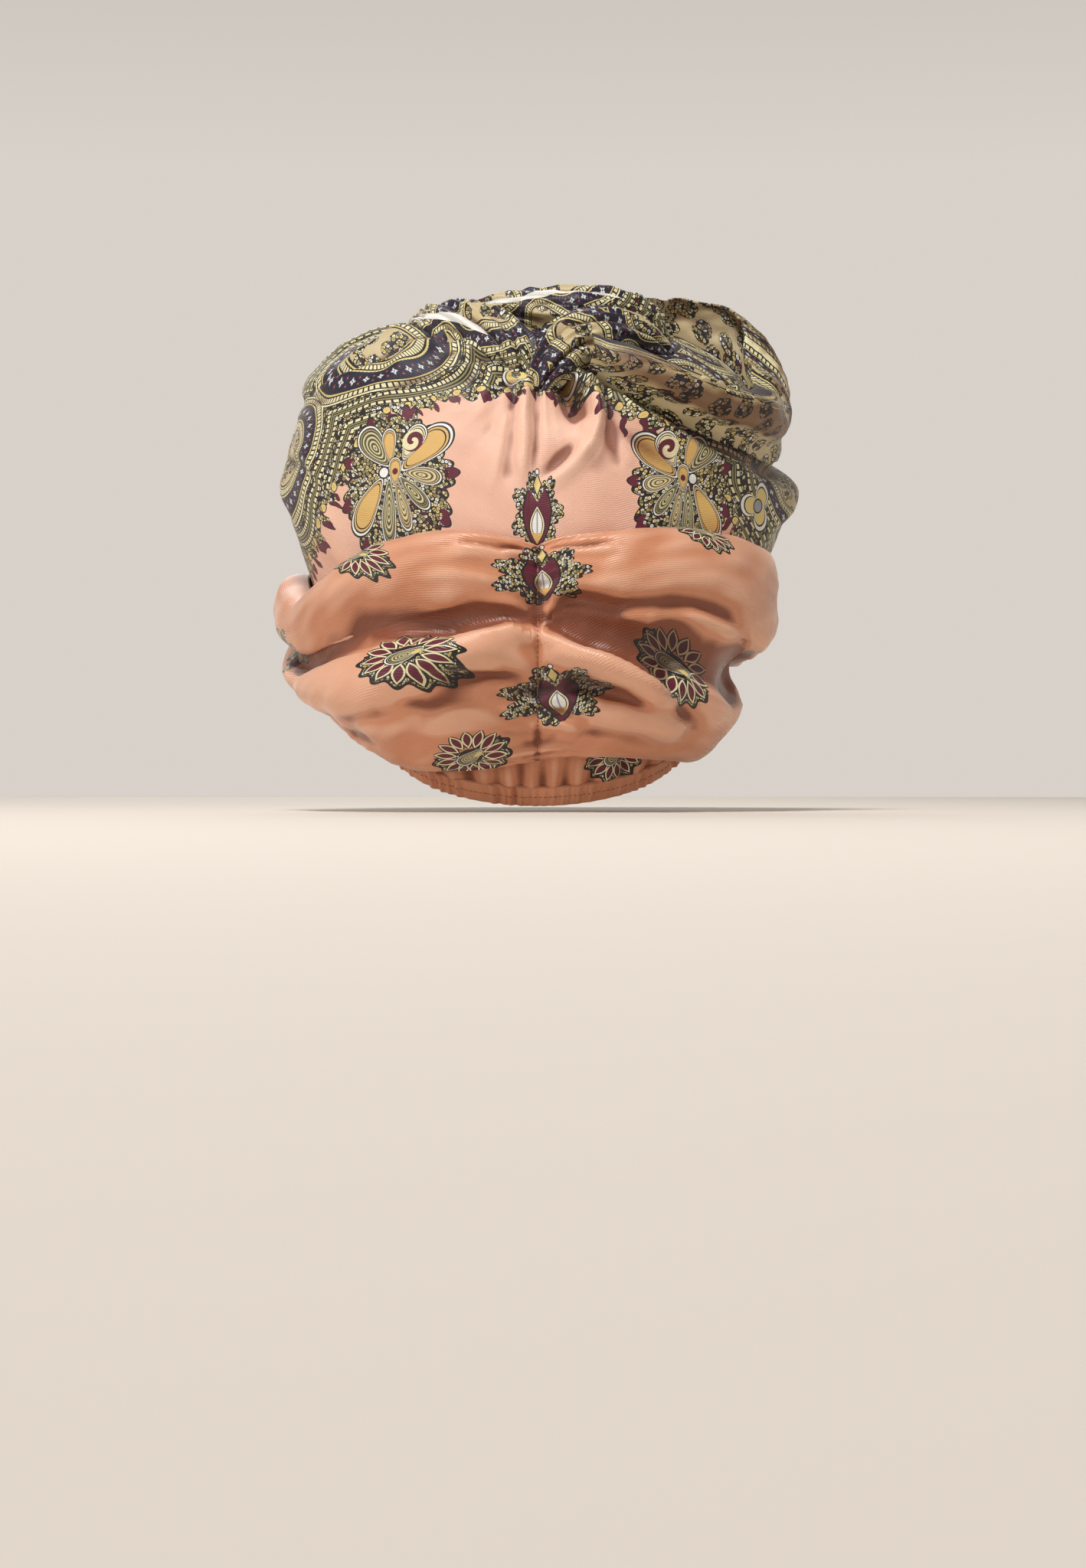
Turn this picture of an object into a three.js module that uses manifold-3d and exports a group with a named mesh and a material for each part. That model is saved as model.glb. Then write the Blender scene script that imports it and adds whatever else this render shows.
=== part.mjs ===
// A ready-wrapped turban of printed silk: a loose crown gathered into a knot on top, an open bow loop on the
// wearer's right, a draped fold ruched across the back, an elastic casing at the nape and a plain brow hem.
// Millimetres, +Z up. The wearer faces -Y, and +X is the wearer's left.
// The origin is the middle of the head opening, level with the brow.
// Azimuth is in degrees round the head: 0 at the middle of the back, 90 at the wearer's left, 180 at the brow.
import * as THREE from "three";
import { mergeVertices } from "three/addons/utils/BufferGeometryUtils.js";
import Module from "manifold-3d";

const wasm = await Module();
wasm.setup();

// Driving dimensions
const CLOTH = 1.2; // wall of every draped layer
const CLEARANCE = 0.3; // gap that sewn layers keep from each other
const CROWN_HALF_WIDTH = 121; // the crown at its widest, to each side
const CROWN_HALF_DEPTH = 103; // the crown at its deepest, to the front and to the back
const CROWN_TOP = 141; // gathered top above the brow
const BROW_RIM = 6; // crown's cut edge at the brow
const NAPE_RIM = -91; // crown's cut edge at the nape
const CROWN_FOLD_WIDTH = 8; // half width of a common pleat of the crown
const CROWN_FOLD_DEPTH = 6; // height of a common pleat of the crown
const POUCH_BULGE = 27; // how far the back fold stands out at its fullest
const POUCH_TOP = 30; // its top edge above the brow, where it is highest
const POUCH_DROP = 112; // from there to its lowest lower edge
const POUCH_TUCK = 0.28; // how much of the bulge its lower edge has lost
const POUCH_CURL = 26; // degrees that its two edges curl in behind it
const POUCH_FOLD_WIDTH = 9; // half width of a common crease of the back fold
const POUCH_FOLD_DEPTH = 6; // depth of a common crease of the back fold
const LOOP_RISE = 40; // width of the bow loop's cloth standing on the crown
const LOOP_LEAN = 22; // how far its free edge leans out at most
const LOOP_BELLY = 17; // how far its cloth bellies out at most
const LOOP_FOLD_WIDTH = 7; // half width of a crease of the loop
const LOOP_FOLD_DEPTH = 4; // depth of a crease of the loop
const STRAND_RADIUS = 12; // gathered cloth of the knot
const STRAND_RIDGE = 1.5; // height of its lengthwise ridges
const STRAND_RIDGES = 5;
const STRAND_STEPS = 12;
const STRAND_TWIST = 0.12; // turn of the ridges from one section to the next
const CASING_HEIGHT = 9; // elastic casing at the nape
const CASING_THICKNESS = 3.4;
const CASING_RUFFLE = 0.9; // how far its gathers stand in and out
const CASING_RUFFLES = 22;
const CASING_END = 94; // azimuth where the casing meets the brow hem
const HEM_HEIGHT = 13; // plain turned hem at the brow
const HEM_THICKNESS = 2.8;

const CROWN_FACETS = [60, 21]; // round the crown, and from its peak to its rim
const BACK_FINENESS = 22; // degrees by which the facets crowd towards the back, where the folds are
const DEGREE = Math.PI / 180;
const MM_PER_DEGREE = 1.9; // how a fold's slant is measured round the crown
const MERIDIAN = 300; // and down it, from the peak to the rim

// The crown's sections. Each row is a meridian: its azimuth, the share of the drop from brow to nape that its rim
// takes, and how far each station down it reaches, as a share of the half width and half depth.
const CROWN_SECTIONS = [
  // azimuth, drop, gather, crest, shoulder, upper, bulge, waist, lower, rim
  [0, 1.0, 0.3, 0.52, 0.72, 0.89, 0.985, 0.99, 0.925, 0.755],
  [30, 0.93, 0.38, 0.63, 0.83, 0.95, 0.99, 0.98, 0.92, 0.765],
  [60, 0.72, 0.44, 0.72, 0.91, 0.985, 1.03, 0.98, 0.89, 0.73],
  [90, 0.45, 0.46, 0.75, 0.94, 0.985, 1.035, 0.965, 0.86, 0.69],
  [120, 0.19, 0.42, 0.69, 0.88, 0.955, 0.99, 0.965, 0.89, 0.75],
  [150, 0.04, 0.3, 0.56, 0.79, 0.93, 1.01, 1.01, 0.98, 0.89],
  [180, 0.0, 0.22, 0.49, 0.76, 0.94, 1.04, 1.06, 1.03, 0.95],
  [210, 0.04, 0.28, 0.52, 0.76, 0.92, 1.01, 1.01, 0.98, 0.89],
  [240, 0.19, 0.38, 0.58, 0.8, 0.92, 0.99, 0.97, 0.89, 0.75],
  [270, 0.45, 0.41, 0.62, 0.82, 0.94, 1.035, 0.96, 0.85, 0.69],
  [300, 0.72, 0.38, 0.6, 0.8, 0.93, 1.03, 0.97, 0.88, 0.73],
  [330, 0.93, 0.33, 0.56, 0.77, 0.92, 0.99, 0.98, 0.92, 0.765],
];
const SECTION_STEP = 30;
// Height of each station, the peak first, as a share of the way from the rim to the crown's top.
const STATION_HEIGHTS = [1, 0.985, 0.93, 0.84, 0.72, 0.55, 0.38, 0.2, 0];

// Pleats and creases of the crown. Each follows a path of azimuths and shares of the meridian, and stands out, or
// in where its depth is negative, by shares of the common width and depth.
const CROWN_FOLDS = [
  { width: 0.5, depth: 0.45, path: [[4, 0.34], [3, 0.43], [4, 0.54]] },
  { width: 0.8, depth: -1.2, path: [[-6, 0.34], [-9, 0.41], [-9, 0.49]] },
  { width: 0.55, depth: 1.1, path: [[-8, 0.33], [-14, 0.4], [-15, 0.47], [-9, 0.55]] },
  { width: 0.7, depth: 0.5, path: [[12, 0.32], [15, 0.48]] },
  { width: 0.9, depth: 0.7, path: [[18, 0.24], [26, 0.42]] },
  { width: 0.9, depth: 0.8, path: [[30, 0.2], [42, 0.4]] },
  { width: 1.0, depth: 0.8, path: [[46, 0.15], [60, 0.38]] },
  { width: 1.0, depth: 0.6, path: [[70, 0.13], [80, 0.34]] },
  { width: 0.8, depth: 0.8, path: [[-12, 0.38], [-24, 0.47], [-40, 0.55], [-58, 0.6]] },
  { width: 0.9, depth: -0.4, path: [[50, 0.44], [112, 0.46]] },
  { width: 0.9, depth: 0.4, path: [[64, 0.66], [92, 0.62], [112, 0.6]] },
  { width: 0.75, depth: -1.5, path: [[-56, 0.56], [-76, 0.59], [-112, 0.57]] },
  { width: 0.8, depth: 0.7, path: [[-64, 0.69], [-90, 0.64], [-112, 0.62]] },
  { width: 1.0, depth: 0.7, path: [[104, 0.12], [100, 0.66]] },
  { width: 1.0, depth: 0.8, path: [[124, 0.12], [114, 0.82]] },
  { width: 1.0, depth: 0.8, path: [[143, 0.13], [131, 0.84]] },
  { width: 1.0, depth: 0.7, path: [[160, 0.14], [151, 0.86]] },
  { width: 1.0, depth: 0.7, path: [[200, 0.14], [209, 0.86]] },
  { width: 1.0, depth: 0.8, path: [[217, 0.13], [229, 0.84]] },
  { width: 1.0, depth: 0.8, path: [[236, 0.12], [246, 0.82]] },
  { width: 1.0, depth: 0.7, path: [[256, 0.12], [260, 0.52]] },
];

// The back fold's sections, from the wearer's right to the left: azimuth, how far its top edge lies below the
// highest, how far its lower edge lies above the lowest, both as shares of the drop, and its share of the bulge.
const POUCH_SECTIONS = [
  // azimuth, lowered, raised, bulge
  [-112, 0.3, 0.48, 0.04],
  [-96, 0.27, 0.36, 0.1],
  [-78, 0.19, 0.2, 0.22],
  [-56, 0.05, 0.07, 0.78],
  [-36, 0.0, 0.07, 1.0],
  [-17, 0.02, 0.08, 0.9],
  [-6, 0.05, 0.07, 0.56],
  [0, 0.08, 0.05, 0.36],
  [6, 0.05, 0.04, 0.54],
  [17, 0.02, 0.02, 0.82],
  [34, 0.06, 0.03, 0.98],
  [50, 0.17, 0.11, 0.98],
  [64, 0.24, 0.2, 0.94],
  [80, 0.17, 0.36, 0.94],
  [94, 0.1, 0.46, 0.84],
  [112, 0.2, 0.46, 0.12],
];

// Creases of the back fold, which run out from its ruched middle. Shares run down its section.
const POUCH_FOLDS = [
  { width: 1.5, depth: -1.0, path: [[10, 0.36], [34, 0.4], [66, 0.38]] },
  { width: 0.5, depth: -1.1, path: [[2, 0.42], [14, 0.45], [36, 0.48], [70, 0.48]] },
  { width: 0.8, depth: 0.8, path: [[3, 0.47], [20, 0.52], [40, 0.56], [74, 0.55]] },
  { width: 0.6, depth: -0.9, path: [[2, 0.53], [24, 0.56]] },
  { width: 0.8, depth: 0.6, path: [[3, 0.6], [24, 0.62], [52, 0.64]] },
  { width: 0.7, depth: -0.7, path: [[40, 0.67], [58, 0.72]] },
  { width: 0.8, depth: -1.4, path: [[56, 0.66], [80, 0.6], [100, 0.56]] },
  { width: 1.0, depth: -1.0, path: [[-2, 0.41], [-16, 0.47], [-34, 0.47]] },
  { width: 0.6, depth: 1.1, path: [[-2, 0.47], [-10, 0.52], [-20, 0.56], [-30, 0.64]] },
  { width: 0.7, depth: -0.6, path: [[-5, 0.57], [-18, 0.62]] },
  { width: 0.6, depth: 0.8, path: [[-8, 0.62], [-17, 0.65], [-32, 0.7]] },
  { width: 0.9, depth: -1.4, path: [[-38, 0.5], [-50, 0.55], [-70, 0.5], [-92, 0.46]] },
  { width: 0.8, depth: 0.5, path: [[-52, 0.43], [-74, 0.38], [-92, 0.36]] },
];

// The bow loop's sections, along its front layer, round its outer end and back along its rear layer: where its
// lower edge sits on the crown, and its shares of the rise, the lean and the belly.
const LOOP_SECTIONS = [
  // azimuth, share, rise, lean, belly
  [-56, 0.14, 0.2, 0.0, 0.0],
  [-84, 0.15, 0.36, 0.0, 0.1],
  [-99, 0.2, 0.44, 0.0, 0.2],
  [-102, 0.28, 0.56, 0.0, 0.3],
  [-98, 0.38, 0.82, -0.2, 0.5],
  [-92, 0.48, 1.15, -0.5, 0.7],
  [-85, 0.56, 1.35, -0.8, 0.8],
  [-74, 0.57, 1.15, -0.4, 0.85],
  [-62, 0.555, 0.88, 0.1, 1.0],
  [-51, 0.535, 0.7, 0.4, 1.0],
  [-42, 0.51, 0.65, 0.5, 1.0],
  [-33, 0.475, 0.6, 0.5, 0.9],
  [-24, 0.435, 0.55, 0.4, 0.75],
  [-15, 0.385, 0.42, 0.2, 0.4],
];
const LOOP_FOLDS = [
  { width: 0.8, depth: 0.7, path: [[-114, 0.5], [-100, 0.45]] },
  { width: 0.9, depth: 0.9, path: [[-30, 0.65], [-52, 0.8]] },
  { width: 0.9, depth: -0.8, path: [[-28, 0.3], [-60, 0.3]] },
];

// The knot's gathered strands, laid over the crown's top. Each row is an azimuth and a share of the meridian
// where the strand passes, how far its middle stands above the crown and its size, both as shares of its radius.
const LEFT_STRAND = [
  // azimuth, share, above, size
  [86, 0.16, -0.8, 0.6],
  [62, 0.15, -0.45, 0.85],
  [43, 0.18, -0.3, 1.15],
  [24, 0.225, -0.25, 1.3],
  [9, 0.3, -0.2, 1.05],
  [3, 0.385, -0.45, 0.5],
];
const RIGHT_STRAND = [
  // azimuth, share, above, size
  [0, 0.4, -0.4, 0.5],
  [-4, 0.355, 0.0, 0.9],
  [-12, 0.305, 0.2, 1.2],
  [-25, 0.275, 0.2, 1.25],
  [-41, 0.27, 0.0, 0.95],
  [-56, 0.29, -0.6, 0.5],
];
const TOP_ROLL = [
  // azimuth, share, above, size
  [66, 0.11, -0.6, 0.5],
  [26, 0.13, -0.05, 0.9],
  [-10, 0.155, 0.3, 1.05],
  [-36, 0.165, 0.35, 1.08],
  [-58, 0.18, 0.15, 0.9],
  [-74, 0.21, -0.6, 0.5],
];

const clamp = (x, low, high) => Math.min(high, Math.max(low, x));
const smooth = (x) => x * x * (3 - 2 * x);

// Catmull-Rom curve through values at whole numbers, closed into a ring or held at its ends.
function spline(values, x, ring = false) {
  const n = values.length;
  const at = (i) => (ring ? values[((i % n) + n) % n] : values[clamp(i, 0, n - 1)]);
  const i = ring ? Math.floor(x) : clamp(Math.floor(x), 0, n - 2);
  const f = x - i;
  const [a, b, c, d] = [at(i - 1), at(i), at(i + 1), at(i + 2)];
  return b + 0.5 * f * (c - a + f * (2 * a - 5 * b + 4 * c - d + f * (3 * (b - c) + d - a)));
}

const column = (table, i) => table.map((row) => row[i]);

// How far the folds lift the cloth at an azimuth and a share down it, in millimetres.
function foldLift(folds, azimuth, share, length, commonWidth, commonDepth) {
  let lift = 0;
  for (const { width, depth, path } of folds) {
    const turn = 360 * Math.round((azimuth - path[0][0]) / 360);
    const spot = [(azimuth - turn) * MM_PER_DEGREE, share * length];
    const marks = path.map(([a, s]) => [a * MM_PER_DEGREE, s * length]);
    const runs = marks.slice(1).map(([x, y], i) => Math.hypot(x - marks[i][0], y - marks[i][1]));
    const total = runs.reduce((a, b) => a + b);
    let [away, along, before] = [Infinity, 0, 0];
    runs.forEach((run, i) => {
      const [[x0, y0], [x1, y1]] = [marks[i], marks[i + 1]];
      const near = clamp(((spot[0] - x0) * (x1 - x0) + (spot[1] - y0) * (y1 - y0)) / run ** 2, 0, 1);
      const gap = Math.hypot(spot[0] - x0 - near * (x1 - x0), spot[1] - y0 - near * (y1 - y0));
      if (gap < away) [away, along] = [gap, (before + near * run) / total];
      before += run;
    });
    const taper = smooth(clamp(2.2 * (0.62 - Math.abs(along - 0.5)), 0, 1));
    lift += depth * commonDepth * taper * Math.exp(-((away / (width * commonWidth)) ** 2));
  }
  return lift;
}

// The crown's outer surface with its outward direction, at an azimuth and a share from its peak to its rim.
function crownBase(azimuth, share) {
  const row = azimuth / SECTION_STEP;
  const rim = BROW_RIM - (BROW_RIM - NAPE_RIM) * spline(column(CROWN_SECTIONS, 1), row, true);
  const reaches = STATION_HEIGHTS.map((_, i) =>
    i === 0 ? 0 : spline(column(CROWN_SECTIONS, i + 1), row, true),
  );
  const at = (s) => {
    const station = clamp(s, 0, 1) * (STATION_HEIGHTS.length - 1);
    const reach = spline(reaches, station);
    return new THREE.Vector3(
      CROWN_HALF_WIDTH * reach * Math.sin(azimuth * DEGREE),
      CROWN_HALF_DEPTH * reach * Math.cos(azimuth * DEGREE),
      rim + (CROWN_TOP - rim) * spline(STATION_HEIGHTS, station),
    );
  };
  const [above, below] = [at(share - 0.01), at(share + 0.01)];
  const out = new THREE.Vector3(Math.sin(azimuth * DEGREE), Math.cos(azimuth * DEGREE), 0);
  const fall = below.sub(above);
  const normal = new THREE.Vector3(0, 0, fall.dot(out)).addScaledVector(out, -fall.z).normalize();
  return { point: at(share), normal };
}

function crownAt(azimuth, share) {
  const { point, normal } = crownBase(azimuth, share);
  const lift = foldLift(CROWN_FOLDS, azimuth, share, MERIDIAN, CROWN_FOLD_WIDTH, CROWN_FOLD_DEPTH);
  return { point: point.addScaledVector(normal, lift), normal };
}

// The crown at an azimuth and a height, found between its widest station and its rim.
function crownAtHeight(azimuth, height) {
  let [above, below] = [0.35, 1];
  for (let i = 0; i < 24; i++) {
    const share = (above + below) / 2;
    if (crownAt(azimuth, share).point.z > height) above = share;
    else below = share;
  }
  return crownAt(azimuth, above);
}

function pouchAt(section, share) {
  const [azimuth, lowered, raised, bulge] = [0, 1, 2, 3].map((i) =>
    spline(column(POUCH_SECTIONS, i), section),
  );
  const top = POUCH_TOP - lowered * POUCH_DROP;
  const bottom = POUCH_TOP - POUCH_DROP + raised * POUCH_DROP;
  const turn = (-POUCH_CURL + share * (180 + 2 * POUCH_CURL)) * DEGREE;
  const height = (top + bottom) / 2 + ((top - bottom) / 2) * Math.cos(turn);
  const { point, normal } = crownAtHeight(azimuth, height);
  const curl = Math.sin(POUCH_CURL * DEGREE);
  const round = Math.max(0, (Math.sin(turn) + curl) / (1 + curl));
  const crease = foldLift(POUCH_FOLDS, azimuth, share, POUCH_DROP * 1.4, POUCH_FOLD_WIDTH, POUCH_FOLD_DEPTH);
  const edge = smooth(clamp(5 * Math.min(share, 1 - share), 0, 1));
  const full = round ** 0.8 * (1 - POUCH_TUCK * smooth(clamp(2 * share - 0.9, 0, 1)));
  const out = POUCH_BULGE * bulge * full + crease * edge * clamp(bulge * 1.6, 0, 1);
  return point.addScaledVector(normal, CLOTH + CLEARANCE + out);
}

function loopAt(section, share) {
  const [azimuth, seat, rise, lean, belly] = [0, 1, 2, 3, 4].map((i) =>
    spline(column(LOOP_SECTIONS, i), section),
  );
  const { point, normal } = crownAt(azimuth, seat);
  const across = new THREE.Vector3(normal.x, normal.y, 0).normalize();
  const front = smooth(clamp((section - 1) / 3, 0, 1)); // the front layer bellies to the front
  const out = new THREE.Vector3(0, -1, 0).lerp(across, front).normalize();
  const crease = foldLift(LOOP_FOLDS, azimuth, share, LOOP_RISE, LOOP_FOLD_WIDTH, LOOP_FOLD_DEPTH);
  const bow = LOOP_BELLY * belly * Math.sin(Math.PI * share ** 1.4) + crease * Math.sin(Math.PI * share);
  return point
    .addScaledVector(normal, CLOTH / 2)
    .addScaledVector(out, lean * LOOP_LEAN * share + bow)
    .add(new THREE.Vector3(0, 0, rise * LOOP_RISE * share));
}

// A closed shell of the cloth's thickness whose outer face is at(u, v). A ring closes on itself round u, and a
// peak gathers its first row into one point.
function shell(at, columns, rows, { ring = false, peak = false, wall = CLOTH } = {}) {
  const wide = ring ? columns : columns + 1;
  const step = 1e-3;
  const faceOut = (u, v) => {
    const [u0, u1] = ring ? [u - step, u + step] : [Math.max(0, u - step), Math.min(1, u + step)];
    const [v0, v1] = [Math.max(0, v - step), Math.min(1, v + step)];
    const across = at(u1, v).sub(at(u0, v));
    return across.cross(at(u, v1).sub(at(u, v0))).normalize();
  };
  const [outer, inner] = [[], []];
  for (let j = peak ? 1 : 0; j <= rows; j++)
    for (let i = 0; i < wide; i++) {
      const [u, v] = [i / columns, j / rows];
      const point = at(u, v);
      outer.push(point);
      inner.push(point.clone().addScaledVector(faceOut(u, v), -wall));
    }
  const points = [...outer, ...inner];
  const half = outer.length;
  const faces = [];
  const index = (i, j) => j * wide + (ring ? i % columns : i);
  const quad = (a, b, c, d) => faces.push(a, d, c, a, c, b);
  const lines = outer.length / wide;
  for (let j = 0; j < lines - 1; j++)
    for (let i = 0; i < columns; i++) {
      const [a, b, c, d] = [index(i, j), index(i, j + 1), index(i + 1, j + 1), index(i + 1, j)];
      quad(a, b, c, d);
      quad(d + half, c + half, b + half, a + half);
    }
  for (let i = 0; i < columns; i++) {
    const [a, b] = [index(i, lines - 1), index(i + 1, lines - 1)];
    quad(a, a + half, b + half, b);
    const [c, d] = [index(i, 0), index(i + 1, 0)];
    if (!peak) quad(d, d + half, c + half, c);
  }
  if (!ring)
    for (let j = 0; j < lines - 1; j++) {
      const [a, b, c, d] = [index(0, j), index(0, j + 1), index(columns, j), index(columns, j + 1)];
      quad(a, a + half, b + half, b);
      quad(d, d + half, c + half, c);
    }
  if (peak) {
    const top = at(0, 0);
    points.push(top, top.clone().add(new THREE.Vector3(0, 0, -wall)));
    for (let i = 0; i < columns; i++) {
      faces.push(2 * half, index(i + 1, 0), index(i, 0));
      faces.push(2 * half + 1, index(i, 0) + half, index(i + 1, 0) + half);
    }
  }
  return meshOf(points, faces);
}

// A solid swept through closed sections, each a list of points in the same order, with flat ends.
function swept(sections) {
  const sides = sections[0].length;
  const points = sections.flat();
  const faces = [];
  for (let j = 0; j < sections.length - 1; j++)
    for (let i = 0; i < sides; i++) {
      const [a, b] = [j * sides + i, j * sides + ((i + 1) % sides)];
      faces.push(a, b, b + sides, a, b + sides, a + sides);
    }
  for (const [first, flip] of [[0, true], [(sections.length - 1) * sides, false]]) {
    const middle = new THREE.Vector3();
    for (let i = 0; i < sides; i++) middle.addScaledVector(points[first + i], 1 / sides);
    points.push(middle);
    for (let i = 0; i < sides; i++) {
      const [a, b] = [first + i, first + ((i + 1) % sides)];
      faces.push(points.length - 1, ...(flip ? [b, a] : [a, b]));
    }
  }
  return meshOf(points, faces);
}

function meshOf(points, faces) {
  const made = new THREE.BufferGeometry().setFromPoints(points).setIndex(faces);
  return made;
}

function solidOf(geometry) {
  const merged = mergeVertices(geometry, 1e-4);
  const made = new wasm.Manifold(
    new wasm.Mesh({
      numProp: 3,
      vertProperties: new Float32Array(merged.attributes.position.array),
      triVerts: new Uint32Array(merged.index.array),
    }),
  );
  return made;
}

function geometryOf(solid) {
  const { vertProperties, triVerts } = solid.getMesh();
  return new THREE.BufferGeometry()
    .setAttribute("position", new THREE.BufferAttribute(vertProperties, 3))
    .setIndex(new THREE.BufferAttribute(triVerts, 1));
}

// The largest body of a solid, without the crumbs that a cut leaves.
function mainBody(solid) {
  return solid.decompose().reduce((a, b) => (b.volume() > a.volume() ? b : a));
}

const facetAzimuth = (u) => 360 * u - BACK_FINENESS * Math.sin(2 * Math.PI * u);

function crownShell() {
  return shell((u, v) => crownAt(facetAzimuth(u), v).point, ...CROWN_FACETS, { ring: true, peak: true });
}

// Everything within the crown's outer surface and the clearance round it, for cutting what sits on the crown.
function crownKeepOut() {
  const [columns, rows] = CROWN_FACETS;
  const points = [crownAt(0, 0).point.add(new THREE.Vector3(0, 0, CLEARANCE))];
  for (let j = 1; j <= rows; j++)
    for (let i = 0; i < columns; i++) {
      const { point, normal } = crownAt(facetAzimuth(i / columns), j / rows);
      points.push(point.addScaledVector(normal, CLEARANCE));
    }
  points.push(new THREE.Vector3(0, 0, NAPE_RIM / 3));
  const at = (i, j) => 1 + (j - 1) * columns + (i % columns);
  const faces = [];
  for (let i = 0; i < columns; i++) {
    faces.push(0, at(i + 1, 1), at(i, 1));
    for (let j = 1; j < rows; j++) {
      faces.push(at(i, j), at(i + 1, j + 1), at(i, j + 1));
      faces.push(at(i, j), at(i + 1, j), at(i + 1, j + 1));
    }
    faces.push(points.length - 1, at(i, rows), at(i + 1, rows));
  }
  return solidOf(meshOf(points, faces));
}

function backPouch() {
  const last = POUCH_SECTIONS.length - 1;
  return shell((u, v) => pouchAt(u * last, v), 48, 14);
}

function bowLoop() {
  const last = LOOP_SECTIONS.length - 1;
  return shell((u, v) => loopAt(u * last, v), 36, 7);
}

// A strand of gathered cloth: ridged sections along a smooth line over the crown.
function strand(table, ease = 0) {
  const at = (i) => {
    const [azimuth, share, above, size] = [0, 1, 2, 3].map((c) => spline(column(table, c), i));
    const { point, normal } = crownBase(azimuth, share);
    return { point: point.addScaledVector(normal, above * STRAND_RADIUS), normal, radius: size * STRAND_RADIUS };
  };
  const sides = STRAND_RIDGES * 3;
  const sections = [];
  for (let j = 0; j <= STRAND_STEPS; j++) {
    const place = (j / STRAND_STEPS) * (table.length - 1);
    const { point, normal, radius } = at(place);
    const ahead = at(Math.min(table.length - 1, place + 0.05)).point;
    const forward = ahead.sub(at(Math.max(0, place - 0.05)).point).normalize();
    const side = normal.clone().cross(forward).normalize();
    const up = forward.clone().cross(side);
    const section = [];
    for (let i = 0; i < sides; i++) {
      const angle = (2 * Math.PI * i) / sides;
      const reach = radius + ease + STRAND_RIDGE * Math.cos(STRAND_RIDGES * angle);
      section.push(
        point
          .clone()
          .addScaledVector(side, Math.cos(angle + j * STRAND_TWIST) * reach)
          .addScaledVector(up, Math.sin(angle + j * STRAND_TWIST) * reach),
      );
    }
    sections.push(section);
  }
  return swept(sections);
}

// A band under the crown's rim between two azimuths, its section gathered by ruffles.
function rimBand(from, to, steps, height, thickness, ruffle, ruffles) {
  const sections = [];
  for (let j = 0; j <= steps; j++) {
    const share = j / steps;
    const azimuth = from + (to - from) * share;
    const { point, normal } = crownAt(azimuth, 1);
    const down = point.clone().sub(crownAt(azimuth, 0.98).point).normalize();
    const wave = ruffle * Math.cos(2 * Math.PI * ruffles * share);
    const place = (depth, out) =>
      point.clone().addScaledVector(down, CLEARANCE + depth).addScaledVector(normal, out - CLOTH / 2);
    const half = thickness / 2;
    sections.push([
      place(height * 0.3, -half),
      place(height * 0.8, -half),
      place(height + wave * 0.4, 0.2 * half + wave),
      place(height * 0.8, half + wave),
      place(height * 0.3, half + wave),
      place(0, half * 0.5 + wave * 0.3),
      place(0, -half * 0.5),
    ]);
  }
  return swept(sections);
}

function fabric(color, roughness) {
  return new THREE.MeshStandardMaterial({ color, roughness, metalness: 0 });
}

const printedSilk = fabric(0xd9946f, 0.5);
const satinSilk = fabric(0xc87f52, 0.42);
const borderSilk = fabric(0x8c8050, 0.5);
const keepOut = crownKeepOut();
const clearOfCrown = (geometry) => solidOf(geometry).subtract(keepOut);

const rightStrand = mainBody(clearOfCrown(strand(RIGHT_STRAND)));
const rightSpace = solidOf(strand(RIGHT_STRAND, CLEARANCE));
const leftStrand = mainBody(clearOfCrown(strand(LEFT_STRAND)).subtract(rightSpace));
const leftSpace = solidOf(strand(LEFT_STRAND, CLEARANCE));
const topRoll = mainBody(clearOfCrown(strand(TOP_ROLL)).subtract(rightSpace).subtract(leftSpace));
const rollSpace = solidOf(strand(TOP_ROLL, CLEARANCE));
const loop = mainBody(clearOfCrown(bowLoop()).subtract(rightSpace).subtract(rollSpace));

const turban = new THREE.Group();
function addPiece(name, geometry, material) {
  const mesh = new THREE.Mesh(geometry, material);
  mesh.name = name;
  turban.add(mesh);
}
addPiece("crown", crownShell(), printedSilk);
addPiece("back_pouch", geometryOf(mainBody(clearOfCrown(backPouch()))), satinSilk);
addPiece("bow_loop", geometryOf(loop), borderSilk);
addPiece("knot_left_strand", geometryOf(leftStrand), borderSilk);
addPiece("knot_right_strand", geometryOf(rightStrand), borderSilk);
addPiece("knot_top_roll", geometryOf(topRoll), borderSilk);
addPiece(
  "nape_casing",
  rimBand(-CASING_END, CASING_END, 66, CASING_HEIGHT, CASING_THICKNESS, CASING_RUFFLE, CASING_RUFFLES),
  satinSilk,
);
addPiece("brow_hem", rimBand(CASING_END + 0.2, 360 - CASING_END - 0.2, 24, HEM_HEIGHT, HEM_THICKNESS, 0, 0), borderSilk);

export default turban;
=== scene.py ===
"""Turban of printed silk, seen from behind: a pleated crown, a ruched back pouch, a bow loop,
a knot of three gathered strands, an elastic casing at the nape and a hem at the brow."""
import math

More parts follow.
